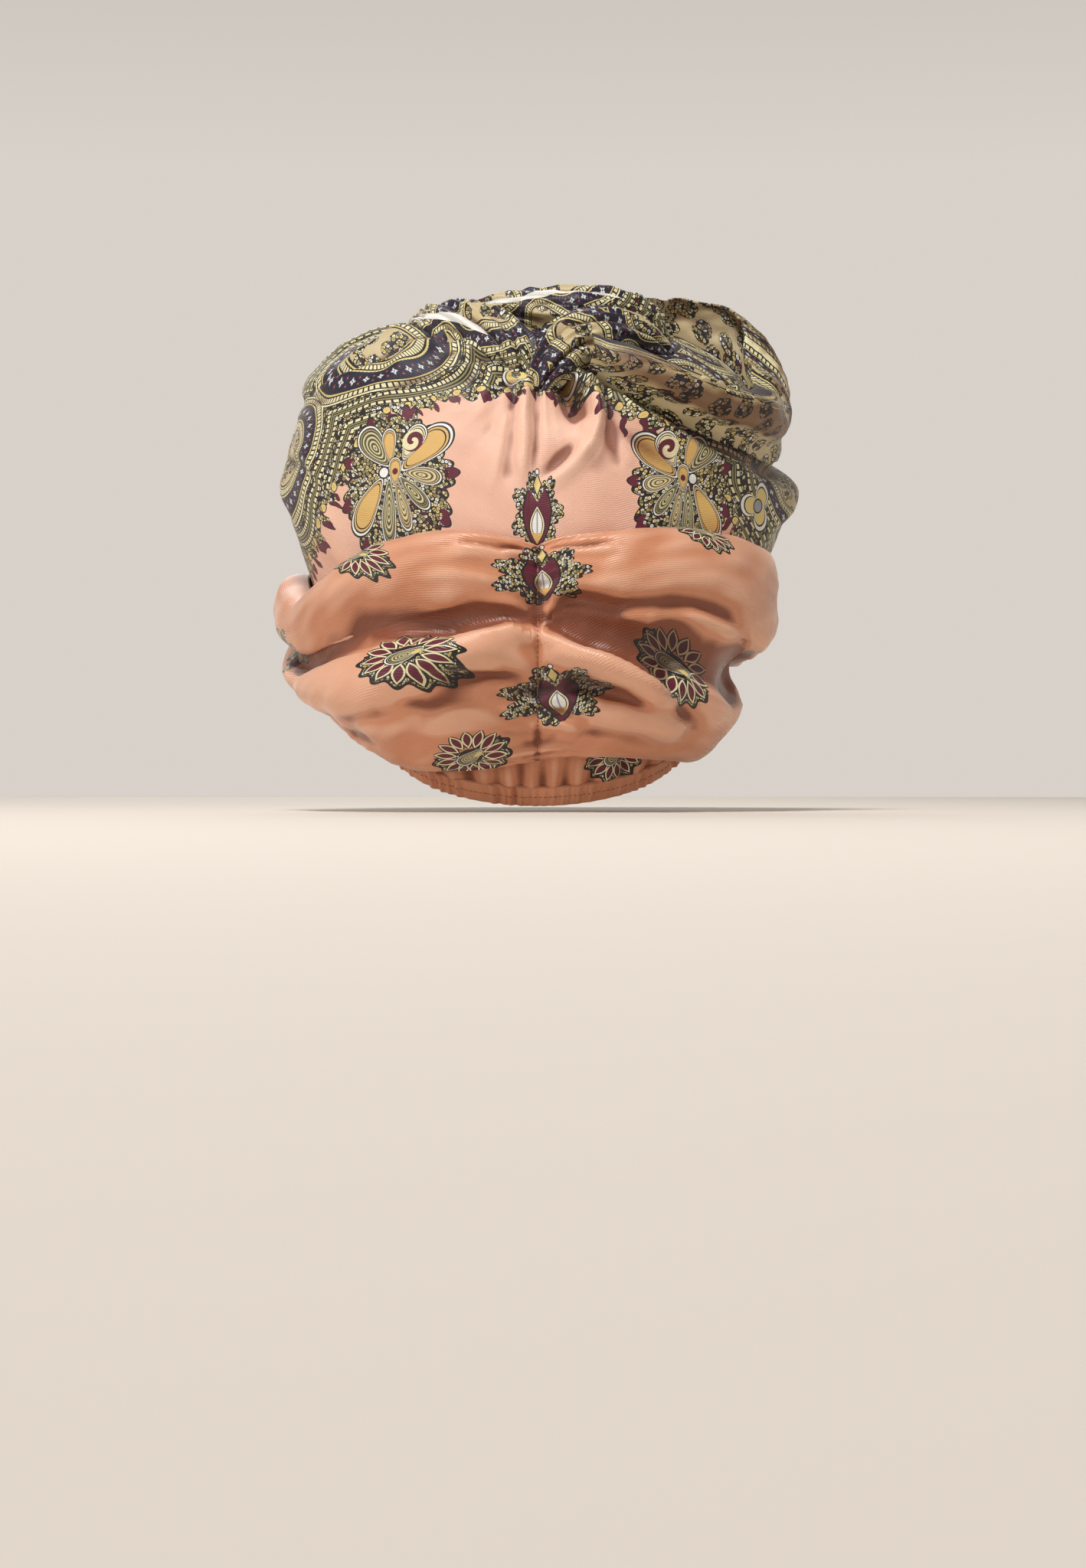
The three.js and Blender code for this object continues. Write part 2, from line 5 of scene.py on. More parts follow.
import bpy
import numpy as np
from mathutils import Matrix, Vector


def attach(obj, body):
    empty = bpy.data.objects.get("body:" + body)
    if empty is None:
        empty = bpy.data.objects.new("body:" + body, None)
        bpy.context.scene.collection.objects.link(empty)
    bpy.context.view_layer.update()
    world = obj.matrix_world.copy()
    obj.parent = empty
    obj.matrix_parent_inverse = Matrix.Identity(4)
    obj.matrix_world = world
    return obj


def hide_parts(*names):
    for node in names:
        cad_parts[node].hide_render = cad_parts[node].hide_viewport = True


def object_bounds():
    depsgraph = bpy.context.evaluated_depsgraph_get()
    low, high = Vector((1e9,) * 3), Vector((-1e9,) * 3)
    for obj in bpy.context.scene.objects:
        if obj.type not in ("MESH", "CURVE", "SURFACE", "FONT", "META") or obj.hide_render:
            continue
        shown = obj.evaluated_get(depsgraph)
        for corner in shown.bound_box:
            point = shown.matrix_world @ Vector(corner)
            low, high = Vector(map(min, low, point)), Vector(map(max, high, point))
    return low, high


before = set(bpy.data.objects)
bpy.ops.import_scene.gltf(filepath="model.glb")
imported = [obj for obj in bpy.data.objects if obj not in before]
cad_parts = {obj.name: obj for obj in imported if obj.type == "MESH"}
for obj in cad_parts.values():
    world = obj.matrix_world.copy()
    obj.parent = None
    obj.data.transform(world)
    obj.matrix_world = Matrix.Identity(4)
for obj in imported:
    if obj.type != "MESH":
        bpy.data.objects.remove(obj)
cad_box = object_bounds()

# Sizes of the wrap in millimetres, as in the solids
CLOTH = 1.2
CLEARANCE = 0.3
CROWN_HALF_WIDTH = 121.0
CROWN_HALF_DEPTH = 103.0
CROWN_TOP = 141.0
BROW_RIM = 6.0
NAPE_RIM = -91.0
CROWN_FOLD = (8.0, 6.0)  # common width and depth of a pleat
POUCH_BULGE = 27.0
POUCH_TOP = 30.0
POUCH_DROP = 112.0
POUCH_LENGTH = POUCH_DROP * 1.4  # of its cloth from top to lower edge
POUCH_TUCK = 0.28
POUCH_CURL = 26.0
POUCH_FOLD = (9.0, 6.0)
LOOP_RISE = 40.0
LOOP_LEAN = 22.0
LOOP_BELLY = 17.0
LOOP_FOLD = (7.0, 4.0)
STRAND_RADIUS = 12.0
CASING_HEIGHT = 9.0
CASING_THICKNESS = 3.4
CASING_END = 94.0
CASING_RUFFLE = 0.9
HEM_HEIGHT = 13.0
HEM_THICKNESS = 2.8
MM_PER_DEGREE = 1.9  # of cloth round the crown
MERIDIAN = 300.0  # of cloth from the crown's top to its rim
SECTION_STEP = 30.0  # degrees between the crown's sections

CROWN_SECTIONS = np.array([
    # azimuth, drop, gather, crest, shoulder, upper, bulge, waist, lower, rim
    [0, 1.0, 0.3, 0.52, 0.72, 0.89, 0.985, 0.99, 0.925, 0.755],
    [30, 0.93, 0.38, 0.63, 0.83, 0.95, 0.99, 0.98, 0.92, 0.765],
    [60, 0.72, 0.44, 0.72, 0.91, 0.985, 1.03, 0.98, 0.89, 0.73],
    [90, 0.45, 0.46, 0.75, 0.94, 0.985, 1.035, 0.965, 0.86, 0.69],
    [120, 0.19, 0.42, 0.69, 0.88, 0.955, 0.99, 0.965, 0.89, 0.75],
    [150, 0.04, 0.3, 0.56, 0.79, 0.93, 1.01, 1.01, 0.98, 0.89],
    [180, 0.0, 0.22, 0.49, 0.76, 0.94, 1.04, 1.06, 1.03, 0.95],
    [210, 0.04, 0.28, 0.52, 0.76, 0.92, 1.01, 1.01, 0.98, 0.89],
    [240, 0.19, 0.38, 0.58, 0.8, 0.92, 0.99, 0.97, 0.89, 0.75],
    [270, 0.45, 0.41, 0.62, 0.82, 0.94, 1.035, 0.96, 0.85, 0.69],
    [300, 0.72, 0.38, 0.6, 0.8, 0.93, 1.03, 0.97, 0.88, 0.73],
    [330, 0.93, 0.33, 0.56, 0.77, 0.92, 0.99, 0.98, 0.92, 0.765],
])
STATION_HEIGHTS = np.array([1, 0.985, 0.93, 0.84, 0.72, 0.55, 0.38, 0.2, 0])

# Pleats as (width, depth, path of (azimuth, share down the meridian)); a negative depth is a valley.
CROWN_FOLDS = [
    (0.5, 0.45, [(4, 0.34), (3, 0.43), (4, 0.54)]),
    (0.8, -1.2, [(-6, 0.34), (-9, 0.41), (-9, 0.49)]),
    (0.55, 1.1, [(-8, 0.33), (-14, 0.4), (-15, 0.47), (-9, 0.55)]),
    (0.7, 0.5, [(12, 0.32), (15, 0.48)]),
    (0.9, 0.7, [(18, 0.24), (26, 0.42)]),
    (0.9, 0.8, [(30, 0.2), (42, 0.4)]),
    (1.0, 0.8, [(46, 0.15), (60, 0.38)]),
    (1.0, 0.6, [(70, 0.13), (80, 0.34)]),
    (0.8, 0.8, [(-12, 0.38), (-24, 0.47), (-40, 0.55), (-58, 0.6)]),
    (0.9, -0.4, [(50, 0.44), (112, 0.46)]),
    (0.9, 0.4, [(64, 0.66), (92, 0.62), (112, 0.6)]),
    (0.75, -1.5, [(-56, 0.56), (-76, 0.59), (-112, 0.57)]),
    (0.8, 0.7, [(-64, 0.69), (-90, 0.64), (-112, 0.62)]),
    (1.0, 0.7, [(104, 0.12), (100, 0.66)]),
    (1.0, 0.8, [(124, 0.12), (114, 0.82)]),
    (1.0, 0.8, [(143, 0.13), (131, 0.84)]),
    (1.0, 0.7, [(160, 0.14), (151, 0.86)]),
    (1.0, 0.7, [(200, 0.14), (209, 0.86)]),
    (1.0, 0.8, [(217, 0.13), (229, 0.84)]),
    (1.0, 0.8, [(236, 0.12), (246, 0.82)]),
    (1.0, 0.7, [(256, 0.12), (260, 0.52)]),
]
POUCH_SECTIONS = np.array([
    # azimuth, lowered, raised, bulge
    [-112, 0.3, 0.48, 0.04],
    [-96, 0.27, 0.36, 0.1],
    [-78, 0.19, 0.2, 0.22],
    [-56, 0.05, 0.07, 0.78],
    [-36, 0.0, 0.07, 1.0],
    [-17, 0.02, 0.08, 0.9],
    [-6, 0.05, 0.07, 0.56],
    [0, 0.08, 0.05, 0.36],
    [6, 0.05, 0.04, 0.54],
    [17, 0.02, 0.02, 0.82],
    [34, 0.06, 0.03, 0.98],
    [50, 0.17, 0.11, 0.98],
    [64, 0.24, 0.2, 0.94],
    [80, 0.17, 0.36, 0.94],
    [94, 0.1, 0.46, 0.84],
    [112, 0.2, 0.46, 0.12],
])
POUCH_FOLDS = [
    (1.5, -1.0, [(10, 0.36), (34, 0.4), (66, 0.38)]),
    (0.5, -1.1, [(2, 0.42), (14, 0.45), (36, 0.48), (70, 0.48)]),
    (0.8, 0.8, [(3, 0.47), (20, 0.52), (40, 0.56), (74, 0.55)]),
    (0.6, -0.9, [(2, 0.53), (24, 0.56)]),
    (0.8, 0.6, [(3, 0.6), (24, 0.62), (52, 0.64)]),
    (0.7, -0.7, [(40, 0.67), (58, 0.72)]),
    (0.8, -1.4, [(56, 0.66), (80, 0.6), (100, 0.56)]),
    (1.0, -1.0, [(-2, 0.41), (-16, 0.47), (-34, 0.47)]),
    (0.6, 1.1, [(-2, 0.47), (-10, 0.52), (-20, 0.56), (-30, 0.64)]),
    (0.7, -0.6, [(-5, 0.57), (-18, 0.62)]),
    (0.6, 0.8, [(-8, 0.62), (-17, 0.65), (-32, 0.7)]),
    (0.9, -1.4, [(-38, 0.5), (-50, 0.55), (-70, 0.5), (-92, 0.46)]),
    (0.8, 0.5, [(-52, 0.43), (-74, 0.38), (-92, 0.36)]),
]
LOOP_SECTIONS = np.array([
    # azimuth, share, rise, lean, belly
    [-56, 0.14, 0.2, 0.0, 0.0],
    [-84, 0.15, 0.36, 0.0, 0.1],
    [-99, 0.2, 0.44, 0.0, 0.2],
    [-102, 0.28, 0.56, 0.0, 0.3],
    [-98, 0.38, 0.82, -0.2, 0.5],
    [-92, 0.48, 1.15, -0.5, 0.7],
    [-85, 0.56, 1.35, -0.8, 0.8],
    [-74, 0.57, 1.15, -0.4, 0.85],
    [-62, 0.555, 0.88, 0.1, 1.0],
    [-51, 0.535, 0.7, 0.4, 1.0],
    [-42, 0.51, 0.65, 0.5, 1.0],
    [-33, 0.475, 0.6, 0.5, 0.9],
    [-24, 0.435, 0.55, 0.4, 0.75],
    [-15, 0.385, 0.42, 0.2, 0.4],
])
LOOP_FOLDS = [
    (0.8, 0.7, [(-114, 0.5), (-100, 0.45)]),
    (0.9, 0.9, [(-30, 0.65), (-52, 0.8)]),
    (0.9, -0.8, [(-28, 0.3), (-60, 0.3)]),
]
STRANDS = {
    # azimuth, share, above, size
    "knot_left_strand": np.array([
        [86, 0.16, -0.8, 0.6], [62, 0.15, -0.45, 0.85], [43, 0.18, -0.3, 1.15],
        [24, 0.225, -0.25, 1.3], [9, 0.3, -0.2, 1.05], [3, 0.385, -0.45, 0.5],
    ]),
    "knot_right_strand": np.array([
        [0, 0.4, -0.4, 0.5], [-4, 0.355, 0.0, 0.9], [-12, 0.305, 0.2, 1.2],
        [-25, 0.275, 0.2, 1.25], [-41, 0.27, 0.0, 0.95], [-56, 0.29, -0.6, 0.5],
    ]),
    "knot_top_roll": np.array([
        [66, 0.11, -0.6, 0.5], [26, 0.13, -0.05, 0.9], [-10, 0.155, 0.3, 1.05],
        [-36, 0.165, 0.35, 1.08], [-58, 0.18, 0.15, 0.9], [-74, 0.21, -0.6, 0.5],
    ]),
}


def added(name, data):
    """A new object in the scene."""
    thing = bpy.data.objects.new(name, data)
    bpy.context.scene.collection.objects.link(thing)
    return thing


def smooth(x):
    x = np.clip(x, 0, 1)
    return x * x * (3 - 2 * x)


def unit(vectors):
    return vectors / np.linalg.norm(vectors, axis=-1, keepdims=True)


def outward(points):
    """Directions square to a grid of points."""
    return unit(np.cross(np.gradient(points, axis=1), np.gradient(points, axis=0)))


def grid(columns, rows):
    return np.meshgrid(columns, rows)


def catmull(a, b, c, d, f):
    """A smooth curve between b and c, at the share f of the way."""
    return b + 0.5 * f * (c - a + f * (2 * a - 5 * b + 4 * c - d + f * (3 * (b - c) + d - a)))


def curve(values, x, ring=False):
    """Smooth curve through values at 0, 1, 2 and so on."""
    n = len(values)
    i = np.floor(x).astype(int)
    if ring:
        a, b, c, d = (values[(i + k) % n] for k in (-1, 0, 1, 2))
    else:
        i = np.clip(i, 0, n - 2)
        a, b, c, d = (values[np.clip(i + k, 0, n - 1)] for k in (-1, 0, 1, 2))
    return catmull(a, b, c, d, x - i)


def nearest_on(marks, x, y):
    """Each spot's distance from a path of marks, the run along it, its side, and the path's whole length."""
    away, along, side, before = np.full_like(x, 1e9), np.zeros_like(x), np.zeros_like(x), 0.0
    for (x0, y0), (x1, y1) in zip(marks, marks[1:]):
        run = math.dist((x0, y0), (x1, y1))
        near = np.clip(((x - x0) * (x1 - x0) + (y - y0) * (y1 - y0)) / run**2, 0, 1)
        gap = np.hypot(x - x0 - near * (x1 - x0), y - y0 - near * (y1 - y0))
        closer = gap < away
        away = np.where(closer, gap, away)
        along = np.where(closer, before + near * run, along)
        side = np.where(closer, np.sign((y1 - y0) * (x - x0) - (x1 - x0) * (y - y0)), side)
        before += run
    return away, along, side, before


def flat_marks(path, length):
    """Marks of a path of (azimuth, share) in millimetres, on cloth of this length from top to rim."""
    return [(azimuth * MM_PER_DEGREE, share * length) for azimuth, share in path]


def path_gap(path, azimuth, share, length=MERIDIAN):
    """Distance in mm from a path, place along it from 0 to 1, and the side of it."""
    turn = 360 * np.round((azimuth - path[0][0]) / 360)
    marks = flat_marks(path, length)
    away, along, side, whole = nearest_on(marks, (azimuth - turn) * MM_PER_DEGREE, share * length)
    return away, along / whole, side


def fold_lift(folds, azimuth, share, length, common):
    """Height in mm that the soft pleats add; common is a pleat's usual width and depth."""
    lift = np.zeros_like(azimuth)
    for width, depth, path in folds:
        away, along, _ = path_gap(path, azimuth, share, length)
        taper = smooth(2.2 * (0.62 - np.abs(along - 0.5)))
        lift += depth * common[1] * taper * np.exp(-((away / (width * common[0])) ** 2))
    return lift


def crown_base(azimuth, share):
    """Points of the crown's outer face and its outward directions, in millimetres."""
    azimuth, share = np.broadcast_arrays(np.asarray(azimuth, float), np.asarray(share, float))
    row = azimuth / SECTION_STEP
    rim = BROW_RIM - (BROW_RIM - NAPE_RIM) * curve(CROWN_SECTIONS[:, 1], row, True)
    reaches = [np.zeros_like(row)] + [curve(CROWN_SECTIONS[:, i], row, True) for i in range(2, 10)]
    reaches = np.stack(reaches)
    turn = np.radians(azimuth)

    def at(s):
        station = np.clip(s, 0, 1) * 8
        i = np.clip(np.floor(station).astype(int), 0, 7)
        picks = [np.take_along_axis(reaches, np.clip(i + k, 0, 8)[None], 0)[0] for k in (-1, 0, 1, 2)]
        reach = catmull(*picks, station - i)
        height = curve(STATION_HEIGHTS, station)
        return np.stack([
            CROWN_HALF_WIDTH * reach * np.sin(turn),
            CROWN_HALF_DEPTH * reach * np.cos(turn),
            rim + (CROWN_TOP - rim) * height,
        ], -1)

    fall = at(share + 0.01) - at(share - 0.01)
    out = np.stack([np.sin(turn), np.cos(turn), np.zeros_like(turn)], -1)
    normal = -fall[..., 2:3] * out
    normal[..., 2] += (fall * out).sum(-1)
    normal = unit(normal)
    return at(share), normal


def crown_at(azimuth, share):
    point, normal = crown_base(azimuth, share)
    lift = fold_lift(CROWN_FOLDS, azimuth, share, MERIDIAN, CROWN_FOLD)
    return point + normal * lift[..., None], normal


def crown_at_height(azimuth, height):
    above, below = np.full_like(azimuth, 0.35), np.ones_like(azimuth)
    for _ in range(18):
        share = (above + below) / 2
        high = crown_at(azimuth, share)[0][..., 2] > height
        above, below = np.where(high, share, above), np.where(high, below, share)
    return crown_at(azimuth, above)


def pouch_at(section, share):
    azimuth, lowered, raised, bulge = (curve(POUCH_SECTIONS[:, i], section) for i in range(4))
    top = POUCH_TOP - lowered * POUCH_DROP
    bottom = POUCH_TOP - POUCH_DROP + raised * POUCH_DROP
    turn = np.radians(-POUCH_CURL + share * (180 + 2 * POUCH_CURL))
    height = (top + bottom) / 2 + (top - bottom) / 2 * np.cos(turn)
    point, normal = crown_at_height(azimuth, height)
    curl = math.sin(math.radians(POUCH_CURL))
    full = np.clip((np.sin(turn) + curl) / (1 + curl), 0, None) ** 0.8
    full = full * (1 - POUCH_TUCK * smooth(2 * share - 0.9))
    crease = fold_lift(POUCH_FOLDS, azimuth, share, POUCH_LENGTH, POUCH_FOLD)
    edge = smooth(5 * np.minimum(share, 1 - share))
    out = POUCH_BULGE * bulge * full + crease * edge * np.clip(bulge * 1.6, 0, 1)
    return point + normal * (CLOTH + CLEARANCE + out)[..., None], azimuth


def loop_at(section, share):
    azimuth, seat, rise, lean, belly = (curve(LOOP_SECTIONS[:, i], section) for i in range(5))
    point, normal = crown_at(azimuth, seat)
    across = normal * np.array([1, 1, 0])
    across = unit(across)
    front = smooth((section - 1) / 3)[..., None]
    out = np.array([0, -1, 0]) * (1 - front) + across * front
    out = unit(out)
    crease = fold_lift(LOOP_FOLDS, azimuth, share, LOOP_RISE, LOOP_FOLD)
    bow = LOOP_BELLY * belly * np.sin(np.pi * share**1.4) + crease * np.sin(np.pi * share)
    point = point + normal * CLOTH / 2 + out * (lean * LOOP_LEAN * share + bow)[..., None]
    point[..., 2] += rise * LOOP_RISE * share
    return point, azimuth


def strand_at(table, place):
    """Middle, outward direction and radius of a knot strand."""
    azimuth, share, above, size = (curve(table[:, i], place) for i in range(4))
    point, normal = crown_base(azimuth, share)
    return point + normal * (above * STRAND_RADIUS)[..., None], normal, size * STRAND_RADIUS


# Crisp folds as (ridge, width below, hollow, width above, path). The cloth lies in a hollow on one side of
# the path and stands proud on the other: below a path that runs from the left of the back to its right.
CROWN_LEDGES = [
    (2.6, 4.0, 2.6, 5.0, [(-2, 0.585), (-8, 0.555), (-13, 0.525), (-15.5, 0.49), (-14.5, 0.45), (-11, 0.40)]),
    (1.4, 4.0, 1.6, 4.0, [(2.5, 0.40), (3.2, 0.46), (2.6, 0.51), (3.4, 0.57)]),
    (0.9, 5.0, 1.0, 5.0, [(9, 0.42), (8, 0.50), (10, 0.58)]),
    (0.9, 5.0, 1.0, 5.0, [(-22, 0.56), (-20, 0.50), (-19, 0.46)]),
    (1.0, 5.0, 1.4, 5.0, [(56, 0.60), (66, 0.56), (84, 0.56)]),
    (1.8, 6.0, 3.2, 5.0, [(-9, 0.385), (-24, 0.455), (-40, 0.535), (-60, 0.595)]),
    (2.0, 5.0, 2.6, 5.0, [(70, 0.43), (52, 0.37), (38, 0.31), (20, 0.27), (8, 0.31)]),
    (1.8, 5.0, 2.4, 5.0, [(66, 0.27), (46, 0.235), (30, 0.20), (12, 0.22)]),
    (1.2, 4.0, 1.6, 4.0, [(44, 0.44), (30, 0.40), (18, 0.355), (7, 0.36)]),
]
POUCH_LEDGES = [
    (3.6, 7.0, 8.0, 9.0, [(104, 0.53), (60, 0.50), (32, 0.475), (17, 0.48), (8, 0.455), (1.5, 0.435)]),
    (1.8, 4.5, 2.2, 4.0, [(1.5, 0.53), (4, 0.525), (18, 0.51), (24, 0.515)]),
    (2.2, 7.0, 2.0, 6.0, [(3, 0.555), (7, 0.565), (21, 0.56), (32, 0.56), (50, 0.60)]),
    (1.0, 4.0, 1.0, 4.0, [(33, 0.57), (28, 0.59), (23, 0.61)]),
    (1.4, 4.0, 1.8, 3.5, [(16, 0.25), (7, 0.255), (1.5, 0.215)]),
    (1.2, 4.0, 1.2, 3.5, [(-1.5, 0.22), (-8, 0.25), (-15, 0.25)]),
    (3.6, 6.0, 7.0, 8.5, [(0, 0.46), (-9, 0.505), (-17, 0.54), (-22, 0.57), (-27, 0.61)]),
    (2.2, 6.5, 1.8, 5.0, [(-6, 0.60), (-14, 0.62), (-23, 0.64), (-34, 0.67)]),
    (1.6, 6.0, 3.0, 6.0, [(-2, 0.41), (-15, 0.45), (-30, 0.44), (-44, 0.47)]),
    (2.8, 7.0, 5.5, 7.0, [(-88, 0.53), (-69, 0.49), (-50, 0.47)]),
    (1.2, 5.0, 1.2, 5.0, [(1, 0.64), (-3, 0.66), (-10, 0.70)]),
    (1.0, 9.0, 6.5, 12.0, [(-20, 0.53), (-34, 0.585), (-50, 0.61), (-68, 0.60)]),
]
# Path across the pouch along which shade is painted
UNDER_ROLL = [(-11, 0.43), (-24, 0.46), (-38, 0.50), (-52, 0.55), (-66, 0.58)]
# Path on the crown beneath the bow loop, along which a shadow is painted
UNDER_LOOP = [(-9, 0.385), (-24, 0.45), (-40, 0.52), (-60, 0.58)]


LEDGE_TURN = 2.4  # width in mm over which a crisp fold drops into its hollow


def ledge_lift(ledges, azimuth, share, length):
    """Height in mm that the crisp folds add."""
    lift = np.zeros_like(azimuth)
    for ridge, below, hollow, above, path in ledges:
        away, along, side = path_gap(path, azimuth, share, length)
        ends = smooth(5 * (0.56 - np.abs(along - 0.5))) * np.exp(-((np.maximum(away - 30, 0) / 8) ** 2))
        proud = ridge * np.exp(-((away / np.where(side > 0, below, LEDGE_TURN)) ** 2))
        dip = np.exp(-(((away - above * 0.75) / above) ** 2)) * smooth(away / 4.6)
        sunk = hollow * np.where(side < 0, dip, 0)
        lift += ends * (proud - sunk)
    return lift


def ripple(x, y, seed, pitch):
    """Soft uneven waves between about -1 and 1, some pitch millimetres long."""
    chance = np.random.default_rng(seed)
    total = np.zeros_like(x)
    for _ in range(7):
        way, start = chance.uniform(0, 2 * math.pi, 2)
        wave = 2 * math.pi / (pitch * chance.uniform(0.6, 1.7))
        total += np.sin((x * math.cos(way) + y * math.sin(way)) * wave + start)
    return total / 3.5


def distance_along(points, axis):
    """Length in millimetres from the first row or column of a grid."""
    steps = np.linalg.norm(np.diff(points, axis=axis), axis=-1)
    pad = [(0, 0), (0, 0)]
    pad[axis] = (1, 0)
    return np.cumsum(np.pad(steps, pad), axis=axis)


# Where the print's motifs sit: (kind, azimuth, share, half width, half height in mm, turn in degrees)
MEDALLION, FAN, PALMETTE, TREFOIL, WIDE_MEDALLION = 1, 2, 3, 4, 5
CROWN_MOTIFS = [
    (MEDALLION, 0, 0.622, 12, 20, 0),
    (PALMETTE, 34, 0.58, 30, 31, 4),
    (PALMETTE, -35, 0.59, -26, 30, -4),
    (TREFOIL, 17, 0.245, 10, 9, 10),
    (TREFOIL, -58, 0.64, 12, 12, -30),
    (TREFOIL, 6.5, 0.372, 7, 10, 15),
    (TREFOIL, -8, 0.375, 8, 11, -20),
    (FAN, -23, 0.965, 13, 12, 30),
    (TREFOIL, 86, 0.5, 9, 9, 0),
]
POUCH_MOTIFS = [
    (WIDE_MEDALLION, -1, 0.30, 23, 13, 4),
    (WIDE_MEDALLION, -4, 0.59, 26, 14, 6),
    (FAN, 25, 0.51, 23, 12, 6),
    (FAN, 38, 0.20, 18, 9, -8),
    (FAN, -28, 0.55, 19, 12, -45),
    (FAN, -34, 0.19, 14, 8, -30),
    (FAN, -52, 0.55, 12, 8, 30),
    (FAN, 15, 0.77, 16, 13, 24),
    (MEDALLION, 72, 0.42, 14, 11, 0),
]
# Centres of the big paisleys of the border on the crown: (azimuth, share, stretch, turn)
CROWN_PAISLEYS = [
    (50, 0.30, 1.25, 20), (80, 0.57, 0.95, 80), (-50, 0.40, 1.2, -20), (-78, 0.62, 0.9, 80),
    (8, 0.12, 1.2, 40), (-58, 0.16, 1.1, 30), (104, 0.30, 1.1, 10), (112, 0.68, 1.0, 60),
    (135, 0.42, 1.2, -20), (140, 0.85, 1.0, 30), (163, 0.22, 1.1, 45), (168, 0.62, 1.15, 10),
    (196, 0.40, 1.1, -30), (202, 0.84, 1.0, 20), (226, 0.20, 1.0, 0), (228, 0.60, 1.2, 30),
    (255, 0.38, 1.0, -40), (252, 0.82, 1.0, 60), (272, 0.22, 1.0, 0), (92, 0.9, 1.0, 0),
    (-96, 0.92, 1.0, 30),
]
# Edge of the plain field inside the border: (azimuth, share), from one side round the back to the other
ARCH = [
    (-118, 1.06), (-84, 0.93), (-62, 0.80), (-54, 0.74), (-52, 0.685), (-47, 0.605), (-42, 0.545),
    (-34, 0.505), (-26, 0.48), (-19, 0.455), (-11, 0.415), (0, 0.402), (11, 0.415), (21, 0.42),
    (28, 0.44), (38, 0.458), (44, 0.505), (48, 0.56), (53, 0.61), (61, 0.695), (76, 0.79), (92, 0.9),
    (118, 1.06),
]


def arch_edge(azimuth, share):
    """Distance in mm above the field's edge, negative inside the field, and the length along that edge."""
    azimuth = (azimuth + 180) % 360 - 180
    away, run, _, _ = nearest_on(flat_marks(ARCH, MERIDIAN), azimuth * MM_PER_DEGREE, share * MERIDIAN)
    edge = np.interp(azimuth, *zip(*ARCH))
    return np.where((share > edge) & (np.abs(azimuth) < ARCH[-1][0]), -away, away), run


def motif_frame(point, normal, turn):
    """Right and up directions of a motif as its viewer sees it, turned in the surface."""
    up = np.array([0.0, 0.0, 1.0]) - normal * normal[2]
    up = unit(up)
    right = np.cross(up, normal)
    c, s = math.cos(math.radians(turn)), math.sin(math.radians(turn))
    return point, right * c + up * s, up * c - right * s, normal


def placed(table, at):
    """Motifs of a table with their centres and directions; at gives a point and its outward direction."""
    result = []
    for kind, azimuth, share, wide, high, turn in table:
        point, normal = at(azimuth, share)
        result.append((kind, wide, high) + motif_frame(point, normal, turn))
    return result


MOTIF_REACH = 2.2  # how far a motif's ground goes, in its half sizes
MOTIF_DEPTH = 22  # and how far off its plane, in mm
NOWHERE = 9.0  # a place in half sizes that no motif reaches
PAISLEY_BEND = 0.012  # curve of a paisley's middle line
PAISLEY_ARC = 30  # mm of print per radian round a paisley
# Eight neighbours of a point of a grid, as steps over rows and columns
ROUND_ABOUT = ((-1, 0), (1, 0), (0, -1), (0, 1), (-0.7, -0.7), (-0.7, 0.7), (0.7, -0.7), (0.7, 0.7))


